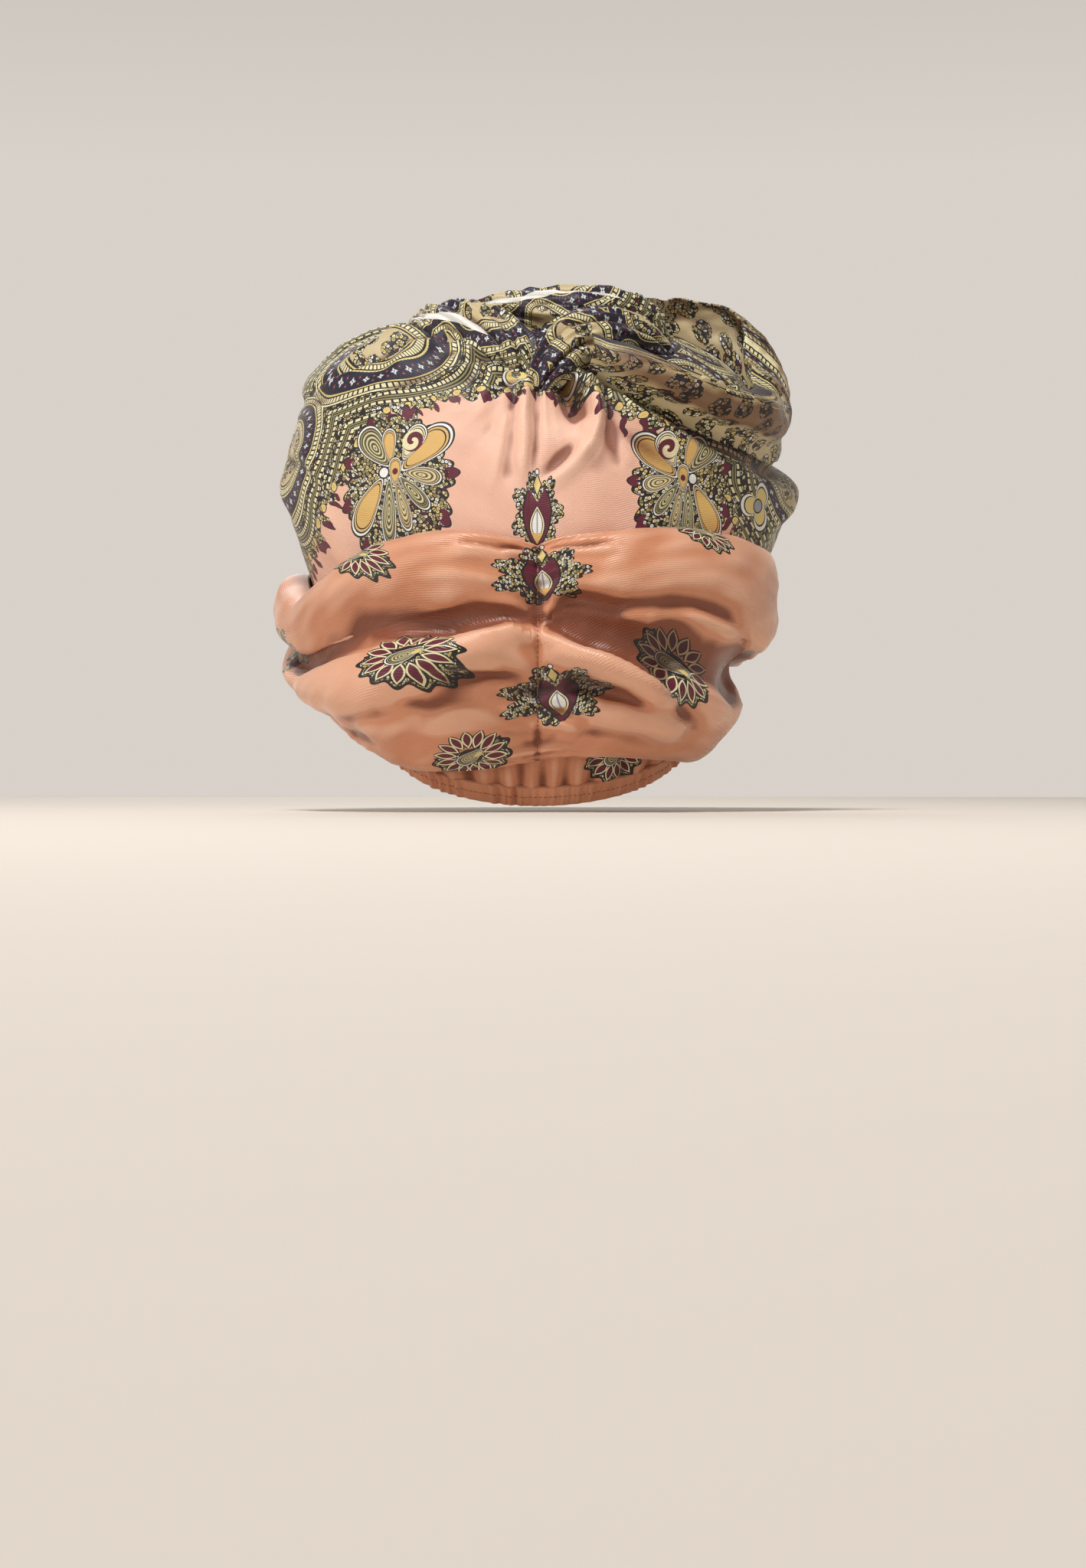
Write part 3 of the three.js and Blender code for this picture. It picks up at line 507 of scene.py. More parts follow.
class Cloth:
    """A grid of points in millimetres, row by row, that becomes a sheet or a tube of cloth."""

    def __init__(self, name, points, ring=False, peak=False, ends=False):
        rows, columns = points.shape[:2]
        self.name, self.points, self.shape = name, points, (rows, columns)
        row, column = np.meshgrid(np.arange(rows - 1), np.arange(columns - 1), indexing="ij")
        corners = np.stack([
            np.stack([row, column], -1), np.stack([row, column + 1], -1),
            np.stack([row + 1, column + 1], -1), np.stack([row + 1, column], -1),
        ], 2).reshape(-1, 4, 2)
        width = columns - 1 if ring else columns
        number = np.arange(rows)[:, None] * width + np.arange(columns)[None] % width
        if peak:
            number[0] = 0
        faces = [[tuple(c) for c in face] for face in corners]
        if peak:
            faces[: columns - 1] = [[face[0], face[2], face[3]] for face in faces[: columns - 1]]
        self.corner_grid = np.array([c for face in faces for c in face])
        self.sizes = np.array([len(face) for face in faces])
        used = np.unique(number)
        compact = np.zeros(number.max() + 1, int)
        compact[used] = np.arange(len(used))
        number = compact[number]
        verts = np.zeros((len(used), 3))
        verts[number[:, ::-1]] = points[:, ::-1]
        polygons = [[int(number[r, c]) for r, c in face] for face in faces]
        if ends:
            for r, order in ((0, 1), (rows - 1, -1)):
                rim = [int(number[r, c]) for c in range(width)][::order]
                verts = np.vstack([verts, points[r, :width].mean(0)])
                polygons += [[len(verts) - 1, b, a] for a, b in zip(rim, rim[1:] + rim[:1])]
                self.corner_grid = np.vstack([self.corner_grid, np.full((3 * width, 2), (r, 0))])
                self.sizes = np.concatenate([self.sizes, np.full(width, 3)])
        self.mesh = bpy.data.meshes.new(name)
        self.mesh.from_pydata((verts / 1000).tolist(), [], polygons)
        self.face_of_corner = np.repeat(np.arange(len(self.sizes)), self.sizes)
        self.spots = self.at_corners(points)

    def at_corners(self, values):
        return values[self.corner_grid[:, 0], self.corner_grid[:, 1]]

    def face_middles(self, values):
        total = np.zeros((len(self.sizes),) + values.shape[1:])
        np.add.at(total, self.face_of_corner, values)
        return total / self.sizes.reshape((-1,) + (1,) * (values.ndim - 1))

    def keep(self, name, values):
        layer = self.mesh.attributes.new(name, "FLOAT_VECTOR", "CORNER")
        layer.data.foreach_set("vector", np.ascontiguousarray(values, dtype=np.float32).ravel())

    def weave(self, across, down):
        """Lays the cloth's own directions, in metres, as its UV map."""
        layer = self.mesh.uv_layers.new(name="Cloth")
        flat = np.stack([self.at_corners(across), self.at_corners(down)], -1) / 1000
        layer.data.foreach_set("uv", flat.astype(np.float32).ravel())

    def print_motifs(self, motifs):
        """Keeps the nearest motif's own coordinates and its kind on every face."""
        middles = self.face_middles(self.spots)
        nearest, best = np.full(len(middles), -1), np.full(len(middles), MOTIF_REACH)
        for i, (kind, wide, high, centre, right, up, normal) in enumerate(motifs):
            offset = middles - centre
            far_side = np.abs(offset @ normal) > MOTIF_DEPTH
            reach = np.hypot(offset @ right / wide, offset @ up / high) + far_side * NOWHERE
            closer = reach < best
            nearest[closer], best[closer] = i, reach[closer]
        local = np.full((len(self.spots), 3), NOWHERE)
        local[:, 2] = 0
        owner = nearest[self.face_of_corner]
        for i, (kind, wide, high, centre, right, up, normal) in enumerate(motifs):
            mine = owner == i
            offset = self.spots[mine] - centre
            local[mine] = np.stack([offset @ right / wide, offset @ up / high, np.full(mine.sum(), kind)], -1)
        self.keep("motif", local)

    def print_paisleys(self, centres):
        """Keeps the distance from the nearest paisley's middle and the length round it, in millimetres."""
        middles = self.face_middles(self.spots)
        nearest, best = np.zeros(len(middles), int), np.full(len(middles), 1e9)
        bands = np.zeros((len(self.spots), 3))

        def measure(spots, centre, right, up, normal, stretch):
            offset = spots - centre
            x, y, z = offset @ right / stretch, offset @ up * stretch, offset @ normal
            y = y + PAISLEY_BEND * x * x
            return np.sqrt(x * x + y * y + z * z), np.arctan2(y, x)

        for i, centre in enumerate(centres):
            far = measure(middles, *centre)[0]
            closer = far < best
            nearest[closer], best[closer] = i, far[closer]
        owner = nearest[self.face_of_corner]
        for i, centre in enumerate(centres):
            mine = owner == i
            far, turn = measure(self.spots[mine], *centre)
            middle_turn = measure(middles, *centre)[1][self.face_of_corner[mine]]
            turn = middle_turn + (turn - middle_turn + math.pi) % (2 * math.pi) - math.pi
            bands[mine] = np.stack([far, turn * PAISLEY_ARC, np.full(mine.sum(), i)], -1)
        self.keep("band", bands)

    def hollows(self, ring):
        """How far each point lies below its surroundings, in millimetres."""
        points = self.points
        depth = 0.0
        for reach in (4, 9):
            total, count = np.zeros_like(points), 0
            for r, c in ROUND_ABOUT:
                rows = np.clip(np.arange(self.shape[0]) + int(round(r * reach)), 0, self.shape[0] - 1)
                columns = np.arange(self.shape[1]) + int(round(c * reach))
                columns = columns % (self.shape[1] - 1) if ring else np.clip(columns, 0, self.shape[1] - 1)
                total, count = total + points[rows][:, columns], count + 1
            normal = np.cross(np.gradient(points, axis=1), np.gradient(points, axis=0))
            normal /= np.linalg.norm(normal, axis=-1, keepdims=True) + 1e-9
            depth = depth + ((total / count - points) * normal).sum(-1)
        return depth

    def piece(self, material, thickness=0.0, ring=False, satin=0.0, white=-1.0, shade=0.0):
        zero = np.zeros(self.shape)
        # The fold attribute's first value is the painted shade amount: the depth below the surroundings plus
        # any extra painted shade, and below zero a painted highlight
        values = [self.at_corners(zero + part) for part in (self.hollows(ring) + shade, satin, white)]
        self.keep("fold", np.stack(values, -1))
        for polygon in self.mesh.polygons:
            polygon.use_smooth = True
        self.mesh.materials.append(material)
        piece = added(self.name, self.mesh)
        if thickness:
            wall = piece.modifiers.new("Cloth", "SOLIDIFY")
            wall.thickness, wall.offset, wall.use_rim = thickness / 1000, -1, True
        return piece


def dye(red, green, blue):
    """A cloth colour, given as it is seen from 0 to 255, for a shader."""
    shares = (red / 255, green / 255, blue / 255)
    return tuple(c / 12.92 if c < 0.0392 else ((c + 0.055) / 1.055) ** 2.4 for c in shares) + (1.0,)


INK = dye(26, 23, 24)
NAVY = dye(27, 25, 44)
MAROON = dye(92, 22, 44)
CREAM = dye(220, 212, 170)
BUTTER = dye(212, 190, 120)
OCHRE = dye(208, 170, 102)
OLIVE = dye(140, 131, 92)
TAN = dye(178, 158, 112)
WHITE = dye(226, 225, 221)
STEEL = dye(146, 148, 160)

# Colours of the lace's blossoms, each from its share of the blossoms on
LACE_MIX = (
    (0, CREAM), (0.26, OLIVE), (0.46, BUTTER), (0.66, TAN), (0.78, WHITE), (0.88, INK), (0.93, MAROON),
)
PALE_MIX = ((0, CREAM), (0.3, WHITE), (0.55, BUTTER), (0.7, OLIVE), (0.86, INK), (0.95, MAROON))
# Lines of the border round a paisley: (mm from its middle, width, colour)
BORDER_LINES = (
    (15, 0.9, INK), (15.9, 0.6, BUTTER), (20.3, 0.6, BUTTER), (29.8, 0.6, BUTTER), (33.9, 0.9, CREAM),
    (34.7, 0.7, INK),
)
# Petals as (place across, place up, direction in degrees, length, width, colour, veins)
PALMETTE_LEAVES = (
    (-0.12, -0.5, 268, 0.5, 0.15, OLIVE, 16.0), (0.12, -0.42, 284, 0.4, 0.12, TAN, 14.0),
    (0.32, -0.25, 312, 0.34, 0.13, OLIVE, 13.0), (0.46, 0.0, 345, 0.3, 0.15, TAN, 11.0),
    (-0.5, -0.38, 236, 0.46, 0.24, OCHRE), (-0.36, 0.5, 130, 0.38, 0.25, OLIVE, 15.0),
    (-0.1, 0.5, 95, 0.26, 0.14, OCHRE), (0.5, 0.4, 38, 0.46, 0.27, OCHRE), (0.3, 0.52, 60, 0.28, 0.19, CREAM),
)


def wired(tree, kind, *wires):
    """A new node, with a socket joined to each of the inputs in wires."""
    made = tree.nodes.new(kind)
    for plug, source in wires:
        tree.links.new(source, made.inputs[plug])
    return made


def worked(operation):
    return lambda self, *others: self.work(operation, *others)


class Amount:
    """A number worked out at each spot of the cloth."""

    def __init__(self, tree, socket):
        self.tree, self.socket = tree, socket

    def work(self, operation, *others):
        node = self.tree.nodes.new("ShaderNodeMath")
        node.operation = operation
        for plug, value in zip(node.inputs, (self,) + others):
            if isinstance(value, Amount):
                self.tree.links.new(value.socket, plug)
            else:
                plug.default_value = value
        return Amount(self.tree, node.outputs[0])

    __add__, __sub__, __mul__, __truediv__ = map(worked, ("ADD", "SUBTRACT", "MULTIPLY", "DIVIDE"))
    __gt__, __lt__, __and__, __abs__ = map(worked, ("GREATER_THAN", "LESS_THAN", "MULTIPLY", "ABSOLUTE"))
    sine, cosine, angle_to = map(worked, ("SINE", "COSINE", "ARCTAN2"))

    def __neg__(self):
        return self * -1.0

    def repeat(self, pitch):
        """Place within each repeat, from minus to plus half the pitch."""
        return (self / pitch).work("FRACT") * pitch - pitch / 2

    def within(self, low, high):
        return (self > low) & (self < high)

    def limit(self, low, high):
        return self.work("MINIMUM", high).work("MAXIMUM", low)


def length_of(x, y):
    return (x * x + y * y).work("SQRT")


class Print:
    """Builds the printed pattern from plain shapes, one over another."""

    def __init__(self, tree):
        self.tree = tree

    def read(self, name):
        node = self.tree.nodes.new("ShaderNodeAttribute")
        node.attribute_name = name
        return self.split(node.outputs["Vector"])

    def split(self, socket):
        node = wired(self.tree, "ShaderNodeSeparateXYZ", (0, socket))
        return [Amount(self.tree, output) for output in node.outputs]

    def over(self, below, above, where, blend="MIX"):
        node = self.tree.nodes.new("ShaderNodeMix")
        node.data_type, node.blend_type = "RGBA", blend
        self.tree.links.new(where.socket, node.inputs["Factor"])
        for plug, colour in ((node.inputs[6], below), (node.inputs[7], above)):
            if isinstance(colour, tuple):
                plug.default_value = colour
            else:
                self.tree.links.new(colour, plug)
        return node.outputs[2]

    def coats(self, colour, *layers):
        """Lays colours one over another, each where its amount is 1."""
        for above, where in layers:
            colour = self.over(colour, above, where)
        return colour

    def cells(self, spot, size, feature="F1"):
        node = wired(self.tree, "ShaderNodeTexVoronoi", ("Vector", spot))
        node.voronoi_dimensions, node.feature = "2D", feature
        node.inputs["Scale"].default_value = 1 / size
        return node

    def noise(self, spot, size, detail=2.0):
        node = wired(self.tree, "ShaderNodeTexNoise", ("Vector", spot))
        node.inputs["Scale"].default_value = 1 / size
        node.inputs["Detail"].default_value = detail
        return Amount(self.tree, node.outputs["Fac"])

    def choose(self, chance, colours):
        """One of several colours, by a random number from 0 to 1."""
        node = self.tree.nodes.new("ShaderNodeValToRGB")
        node.color_ramp.interpolation = "CONSTANT"
        stops = node.color_ramp.elements
        while len(stops) < len(colours):
            stops.new(0.5)
        for stop, (place, colour) in zip(stops, colours):
            stop.position, stop.color = place, colour
        self.tree.links.new(chance.socket, node.inputs[0])
        return node.outputs["Color"]

    def lace(self, spot, size, mix=LACE_MIX):
        """Close small blossoms with dark outlines, the filling of every border."""
        blossoms = self.cells(spot, size)
        middle = Amount(self.tree, blossoms.outputs["Distance"])
        edge = Amount(self.tree, self.cells(spot, size, "DISTANCE_TO_EDGE").outputs["Distance"])
        chance = self.split(blossoms.outputs["Color"])[0]
        colour = self.choose(chance, mix)
        return self.coats(colour, (INK, middle < 0.13), (INK, middle > 0.47), (INK, edge < 0.1))

    def beads(self, below, along, across, low, high, pitch):
        """A row of pale blocks between two dark lines."""
        colour = self.over(below, INK, across.within(low, high))
        block = (abs(along.repeat(pitch)) < pitch * 0.34) & across.within(low + 0.55, high - 0.55)
        return self.over(colour, CREAM, block)

    def border(self, spot, across, along):
        """Bands round a big paisley, from its floral middle outwards; across and along in millimetres."""
        ground = self.lace(spot, 2.6)
        rows = across - 35.2
        from_row = abs(rows.repeat(11.0))
        ground = self.coats(ground, (OLIVE, from_row < 3.3), (INK, abs(rows.repeat(2.2)) < 0.32))
        ground = self.beads(ground, along, from_row, 1.0, 3.6, 2.4)
        sprays = Amount(self.tree, self.cells(spot, 9.0).outputs["Distance"])
        sprays = sprays + (self.noise(spot, 2.0) - 0.5) * 0.25
        middle = self.coats(
            TAN, (dye(200, 184, 150), self.noise(spot, 12.0)), (self.lace(spot, 2.1), sprays < 0.46),
            (INK, sprays.within(0.43, 0.47)),
        )
        colour = self.over(ground, middle, across < 15)
        colour = self.over(colour, NAVY, across.within(20.8, 29.5))
        for line, width, tint in BORDER_LINES:
            colour = self.over(colour, tint, abs(across - line) < width / 2)
        for low, high in ((16.3, 19.8), (30.2, 33.4)):
            colour = self.beads(colour, along, across, low, high, 2.6)
        flower_x, flower_y = along.repeat(8.0), across - 25.2
        petals = flower_y.angle_to(flower_x) * 4.0
        rosette = length_of(flower_x, flower_y) / (petals.cosine() * 0.3 + 0.85)
        between = length_of((along + 4.0).repeat(8.0), abs(flower_y) - 1.7)
        return self.coats(
            colour, (STEEL, rosette < 1.7), (WHITE, rosette < 1.2), (INK, rosette < 0.5),
            (MAROON, between < 1.0), (STEEL, between < 0.3),
        )

    def fringe(self, below, spot, edge, run):
        """Small blossoms and flames that hang from the border into the plain field."""
        uneven = self.noise(spot, 9.0, 1.0)
        into, run = -edge, run + uneven * 9.0
        deep = (into > -1.5) & (into < 20.0)
        reach = (uneven - 0.3) * 11.0 + (run * 0.52).cosine() * 2.2 + 2.4
        colour = self.over(below, self.lace(spot, 1.7), deep & (into < reach))
        for pitch, start, long, wide in ((13.0, 0.0, 8.5, 1.5), (17.0, 6.0, 6.0, 1.2)):
            flame = (run + start).repeat(pitch) + (into - 4.0) * 0.25
            slim = (into - reach * 0.6) / long
            width = (slim * 3.1).sine() * wide
            inside = slim.within(0, 1)
            colour = self.coats(
                colour, (INK, inside & (abs(flame) < width + 0.35)),
                (MAROON, inside & (abs(flame) < width)),
            )
        petal = length_of(run.repeat(12.1), into - 1.0)
        return self.coats(colour, (INK, petal < 2.4), (BUTTER, petal < 1.9), (OCHRE, petal < 0.9))

    def medallion(self, below, spot, x, y, tight=1.0):
        """A tulip of maroon round a pale leaf, on tiers of white beads."""
        turn = y.angle_to(x)
        tiers = (turn * 7.0 + 1.57).sine() * 0.14 + abs((turn * 14.0).sine()) * 0.1 + 0.8
        outline = length_of(x, y + 0.05) / tiers
        colour = self.coats(
            below, (INK, outline < 1.04), (self.lace(spot, 1.5, PALE_MIX), outline < 0.99),
        )
        x = x * tight
        place = (y + 0.95) / 1.45
        width = (place * 2.45).sine() * 0.5
        notch = abs(x) > (place - 0.8) * 1.3
        inside = place.within(0, 1) & notch
        colour = self.coats(
            colour, (INK, inside & (abs(x) < width + 0.07)), (MAROON, inside & (abs(x) < width + 0.01)),
        )
        leaf = (place - 0.1) / 0.66
        slim = (leaf * 3.1416).sine() * 0.31
        leaf = leaf.within(0, 1)
        colour = self.coats(
            colour, (INK, leaf & (abs(x) < slim)), (CREAM, leaf & (abs(x) < slim - 0.04)),
            (INK, leaf & (abs(x) < slim - 0.09)), (WHITE, leaf & (abs(x) < slim - 0.12)),
            (STEEL, leaf & (abs(x) < slim - 0.12) & (abs(x) < 0.025)),
            (OCHRE, leaf & (abs(x) < slim - 0.03) & (place < 0.3)),
        )
        diamond = abs(x) / 0.15 + abs(y - 0.63) / 0.27
        colour = self.coats(colour, (INK, diamond < 1.2), (BUTTER, diamond < 0.9))
        drop = length_of(x, y - 0.95)
        return self.coats(colour, (INK, drop < 0.09), (WHITE, drop < 0.06))

    def fan(self, below, spot, x, y):
        """Half a flower: pointed petals round a hooked middle."""
        root = y - 0.3
        reach = length_of(x, root)
        spread = root.angle_to(x) + 1.5708
        leaf = spread.repeat(0.4488)
        outline = reach / ((leaf * 14.0).cosine() * 0.08 + 1.12)
        colour = self.coats(
            below, (INK, (outline < 1.06) & (y < 0.62)),
            (self.lace(spot, 1.4), (outline < 0.98) & (y < 0.56)),
        )
        place = (reach - 0.4) / 0.72
        width = (place * 3.1416).sine() * 0.16
        petal, inside = abs(leaf) * reach, place.within(0, 1)
        colour = self.coats(
            colour, (INK, inside & (petal < width + 0.05)), (CREAM, inside & (petal < width)),
            (MAROON, inside & (petal < width - 0.05)), (INK, reach < 0.36),
        )
        colour = self.petal(colour, x, y, -0.03, 0.26, 205, 0.47, 0.3, OLIVE, 17.0)
        return self.petal(colour, x, y, 0.24, 0.3, 20, 0.18, 0.12, BUTTER)

    def petal(self, below, x, y, middle_x, middle_y, slope, long, wide, fill, veins=0.0):
        """One drop-shaped petal with its outlines, plain or veined."""
        c, s = math.cos(math.radians(slope)), math.sin(math.radians(slope))
        out = ((x - middle_x) * c + (y - middle_y) * s) / long
        aside = ((y - middle_y) * c - (x - middle_x) * s) / wide
        round_it = length_of(out, aside / (out * 0.34 + 0.74))
        colour = self.coats(
            below, (INK, round_it < 1.13), (WHITE, round_it < 1.06), (INK, round_it < 0.98),
            (fill, round_it < 0.92), (INK, round_it.within(0.79, 0.84)),
        )
        if veins:
            colour = self.coats(
                colour, (INK, (round_it < 0.75) & (abs((round_it * veins).sine()) < 0.4)),
                (CREAM, (round_it < 0.75) & (abs((round_it * veins).cosine()) < 0.35)),
            )
        return colour

    def palmette(self, below, spot, x, y):
        """A butterfly of curled petals on a lace ground, with flames at its edge."""
        turn = y.angle_to(x)
        waves = (turn * 9.0).cosine()
        outline = length_of(x, y * 0.82 + 0.1) / (waves * 0.08 + abs((turn * 17.0).cosine()) * 0.07 + 0.88)
        colour = self.coats(
            below, (INK, outline < 1.03), (self.lace(spot, 1.7), outline < 0.99),
            (MAROON, outline.within(0.86, 1.0) & (waves > 0.62)),
        )
        for leaf in PALMETTE_LEAVES:
            colour = self.petal(colour, x, y, *leaf)
        curl = length_of(x - 0.3, y - 0.54)
        spiral = (curl * 34.0 + (y - 0.54).angle_to(x - 0.3)).sine()
        colour = self.over(colour, self.over(MAROON, CREAM, spiral > 0.0), curl < 0.17)
        colour = self.petal(colour, x, y, 0.0, 0.1, 90, 0.2, 0.13, OCHRE)
        colour = self.over(colour, MAROON, length_of(x, y - 0.1) < 0.05)
        knot = length_of(x + 0.2, y - 0.1)
        return self.coats(colour, (INK, knot < 0.1), (WHITE, knot < 0.075))

    def trefoil(self, below, spot, x, y):
        """Three round petals about a steel centre."""
        far, turn = length_of(x, y), y.angle_to(x)
        petals = far / (abs(((turn - 1.57) * 1.5).cosine()) * 0.72 + 0.3)
        return self.coats(
            below, (INK, petals < 1.1), (WHITE, petals < 1.02), (INK, petals < 0.86),
            (BUTTER, petals < 0.78), (INK, far < 0.3), (STEEL, far < 0.24),
        )

    def whole(self, ground, spot):
        """The scarf's print on a ground colour: border, fringe and single motifs."""
        ring, arc, _ = self.read("band")
        edge, run, _ = self.read("arch")
        x, y, kind = self.read("motif")
        colour = self.over(ground, self.border(spot, ring, arc), edge > 0)
        colour = self.fringe(colour, spot, edge, run)
        for number, shape in (
            (MEDALLION, self.medallion), (FAN, self.fan), (PALMETTE, self.palmette), (TREFOIL, self.trefoil),
        ):
            colour = self.over(colour, shape(colour, spot, x, y), kind.within(number - 0.5, number + 0.5))
        narrow = self.medallion(colour, spot, x, y, 1.45)
        return self.over(colour, narrow, kind > WIDE_MEDALLION - 0.5)


def silk(name, ground, shade, roughness, sheen):
    """Printed silk with a fine crepe weave and a soft shine, with painted shade in its hollows and a painted
    highlight on its ridges.
    """
    material = bpy.data.materials.new(name)
    material.use_nodes = True
    tree = material.node_tree
    tree.nodes.clear()
    dyer = Print(tree)
    flat = tree.nodes.new("ShaderNodeUVMap")
    flat.uv_map = "Cloth"
    scale = wired(tree, "ShaderNodeVectorMath", (0, flat.outputs[0]))
    scale.operation = "SCALE"
    scale.inputs["Scale"].default_value = 1000
    spot = scale.outputs[0]
    u, v = dyer.split(spot)[:2]
    drift = dyer.noise(spot, 28.0)
    base = dyer.over(ground, shade, (drift - 0.3) * 1.2)
    hollow, satin, white = dyer.read("fold")
    base = dyer.over(base, dye(196, 130, 94), satin)
    # Painted highlight: a paler colour on ridges, where the fold attribute's first value is below zero
    base = dyer.over(base, dye(246, 206, 180), ((-hollow - 1.1) * 0.2).limit(0.0, 0.34))
    colour = dyer.over(dyer.whole(base, spot), WHITE, white > 0)
    # Painted shade: hollows, and places given extra painted shade, are darkened by a dark brown
    colour = dyer.over(colour, dye(128, 72, 44), ((hollow - 0.1) * 0.4).limit(0.0, 0.8), "MULTIPLY")
    wander = dyer.noise(spot, 5.0, 3.0)
    ribs = (v * (2 * math.pi / 1.05) + wander * 4.0).sine()
    warp = (u * (2 * math.pi / 0.8) + wander * 2.0).sine()
    weave = ribs * 0.6 + warp * 0.25
    threads = weave * 0.035 + 1.0
    tint = tree.nodes.new("ShaderNodeVectorMath")
    tint.operation = "SCALE"
    tree.links.new(colour, tint.inputs[0])
    tree.links.new(threads.socket, tint.inputs["Scale"])
    bump = tree.nodes.new("ShaderNodeBump")
    bump.inputs["Strength"].default_value = 0.35
    bump.inputs["Distance"].default_value = 0.0002
    tree.links.new((weave + dyer.noise(spot, 3.0) * 1.5).socket, bump.inputs["Height"])
    shader = tree.nodes.new("ShaderNodeBsdfPrincipled")
    shader.inputs["Roughness"].default_value = roughness
    shader.inputs["Sheen Weight"].default_value = sheen
    shader.inputs["Sheen Roughness"].default_value = 0.4
    shader.inputs["Sheen Tint"].default_value = (1.0, 0.9, 0.82, 1.0)
    shader.inputs["Specular IOR Level"].default_value = 0.42
    tree.links.new(tint.outputs[0], shader.inputs["Base Color"])
    tree.links.new(bump.outputs[0], shader.inputs["Normal"])
    output = tree.nodes.new("ShaderNodeOutputMaterial")
    tree.links.new(shader.outputs[0], output.inputs[0])
    return material


CROWN_SILK = silk("Printed silk", dye(224, 180, 160), dye(214, 160, 134), 0.5, 0.25)
BACK_SILK = silk("Satin side of the silk", dye(204, 140, 106), dye(184, 114, 78), 0.34, 0.35)
BORDER_SILK = silk("Border of the silk", dye(204, 140, 106), dye(186, 116, 80), 0.46, 0.2)


IN_BORDER, IN_FIELD = 60.0, -60.0  # distance in mm above the field's edge, all over a piece
NO_RING = 90.0  # distance in mm from a paisley's middle at which no ring is printed


def one_ground(cloth, edge):
    """All of a piece lies in the border, or all of it in the plain field."""
    cloth.keep("arch", np.tile((edge, 0.0, 0.0), (len(cloth.spots), 1)))


def no_bands(cloth):
    cloth.keep("band", np.full((len(cloth.spots), 3), NO_RING))


# The crown, one gathered sheet over the head
# Behind the pouch's deepest hollow the crown is pressed in: the middle, depth and radius in mm
CROWN_TUCK = np.array((-89.8, 44.1, -30.4))
TUCK_DEPTH, TUCK_RADIUS = 3.0, 13
turn = np.linspace(0, 1, 331)
around, down = grid(360 * turn - 30 * np.sin(2 * np.pi * turn), np.linspace(0, 1, 131) ** 0.92)
crown_points, crown_normals = crown_at(around, down)
side = (around + 180) % 360 - 180
knot_x, knot_y = side * MM_PER_DEGREE + 4, (down - 0.36) * MERIDIAN
knot_far = np.hypot(knot_x, knot_y)
fan_turn = np.arctan2(knot_x, knot_y)
GATHERS = ((17, 0.4), (26, 2.0), (41, 1.1))  # number round the knot, start
gathers = sum(np.sin(fan_turn * n + start) for n, start in GATHERS) / 3
lift = 1.1 * gathers * np.exp(-knot_far / 34) * smooth(knot_far / 14)
lift += 0.45 * ripple(side * MM_PER_DEGREE, down * MERIDIAN, 3, 26) * smooth(down * 6)
lift += ledge_lift(CROWN_LEDGES, around, down, MERIDIAN)
elastic = smooth((down - 0.9) / 0.09) * np.clip(1.3 - np.abs(side) / 90, 0, 1)
lift += 1.0 * elastic * np.sin(np.radians(side) * 46 + 1.5 * np.sin(np.radians(side) * 7))
under_hollow = np.linalg.norm(crown_points - CROWN_TUCK, axis=-1)
lift -= TUCK_DEPTH * np.exp(-((under_hollow / TUCK_RADIUS) ** 2))
crown_points = crown_points + crown_normals * lift[..., None]
crown = Cloth("Crown", crown_points, ring=True, peak=True)
crown.weave(around * MM_PER_DEGREE, distance_along(crown_points, 0))
edge, run = arch_edge(around, down)
crown.keep("arch", crown.at_corners(np.stack([edge, run, 0 * run], -1)))


def on_crown(azimuth, share):
    point, normal = crown_at(np.array([float(azimuth)]), np.array([float(share)]))
    return point[0], normal[0]


def paisley_centres(table):
    centres = []
    for azimuth, share, stretch, slope in table:
        centre, right, up, normal = motif_frame(*on_crown(azimuth, share), slope)
        centres.append((centre, right, up, normal, stretch))
    return centres


crown.print_motifs(placed(CROWN_MOTIFS, on_crown))
crown.print_paisleys(paisley_centres(CROWN_PAISLEYS))
satin = smooth((down - 0.86) / 0.03) * (np.abs(side) < 100)
# Painted shadow on the crown beneath the bow loop
shade = 4 * np.exp(-((path_gap(UNDER_LOOP, around, down)[0] / 12) ** 2))
crown_piece = crown.piece(CROWN_SILK, CLOTH, ring=True, satin=satin, shade=shade)

# The back pouch, ruched along its middle
pouch_section = np.linspace(0, len(POUCH_SECTIONS) - 1, 351)
across, down = grid(pouch_section, np.linspace(0, 1, 129))
pouch_points, pouch_azimuth = pouch_at(across, down)
pouch_normals = outward(pouch_points)
flat_x = distance_along(pouch_points, 1)
flat_x -= flat_x[:, [int(np.argmin(np.abs(pouch_azimuth[0])))]]
flat_y = distance_along(pouch_points, 0)
near = np.exp(-((np.abs(flat_x) / 26) ** 1.3))
RUCHES = ((8, 0.05, 0.3), (13, -0.07, 1.9), (19, 0.04, 4.0))  # number down the seam, slope, start
ruches = sum(np.sin(2 * np.pi * down * n + flat_x * slope + start) for n, slope, start in RUCHES) / 3
hold = smooth(6 * np.minimum(down, 1 - down))
lift = 1.5 * near * ruches * hold
lift += (0.5 * ripple(flat_x, flat_y, 5, 34) + 0.22 * ripple(flat_x * 0.5, flat_y * 1.6, 8, 13)) * hold
lift -= 1.3 * np.exp(-((flat_x / 1.6) ** 2)) * hold
lift += ledge_lift(POUCH_LEDGES, pouch_azimuth, down, POUCH_LENGTH) * hold
pouch_points = pouch_points + pouch_normals * lift[..., None]
pouch = Cloth("Back_pouch", pouch_points)
pouch.weave(flat_x + 400, flat_y)


def on_pouch(azimuth, share):
    i = int(np.argmin(np.abs(pouch_azimuth[0] - azimuth)))
    j = int(round(share * (pouch_points.shape[0] - 1)))
    return pouch_points[j, i], pouch_normals[j, i]


one_ground(pouch, IN_FIELD)
no_bands(pouch)
pouch.print_motifs(placed(POUCH_MOTIFS, on_pouch))
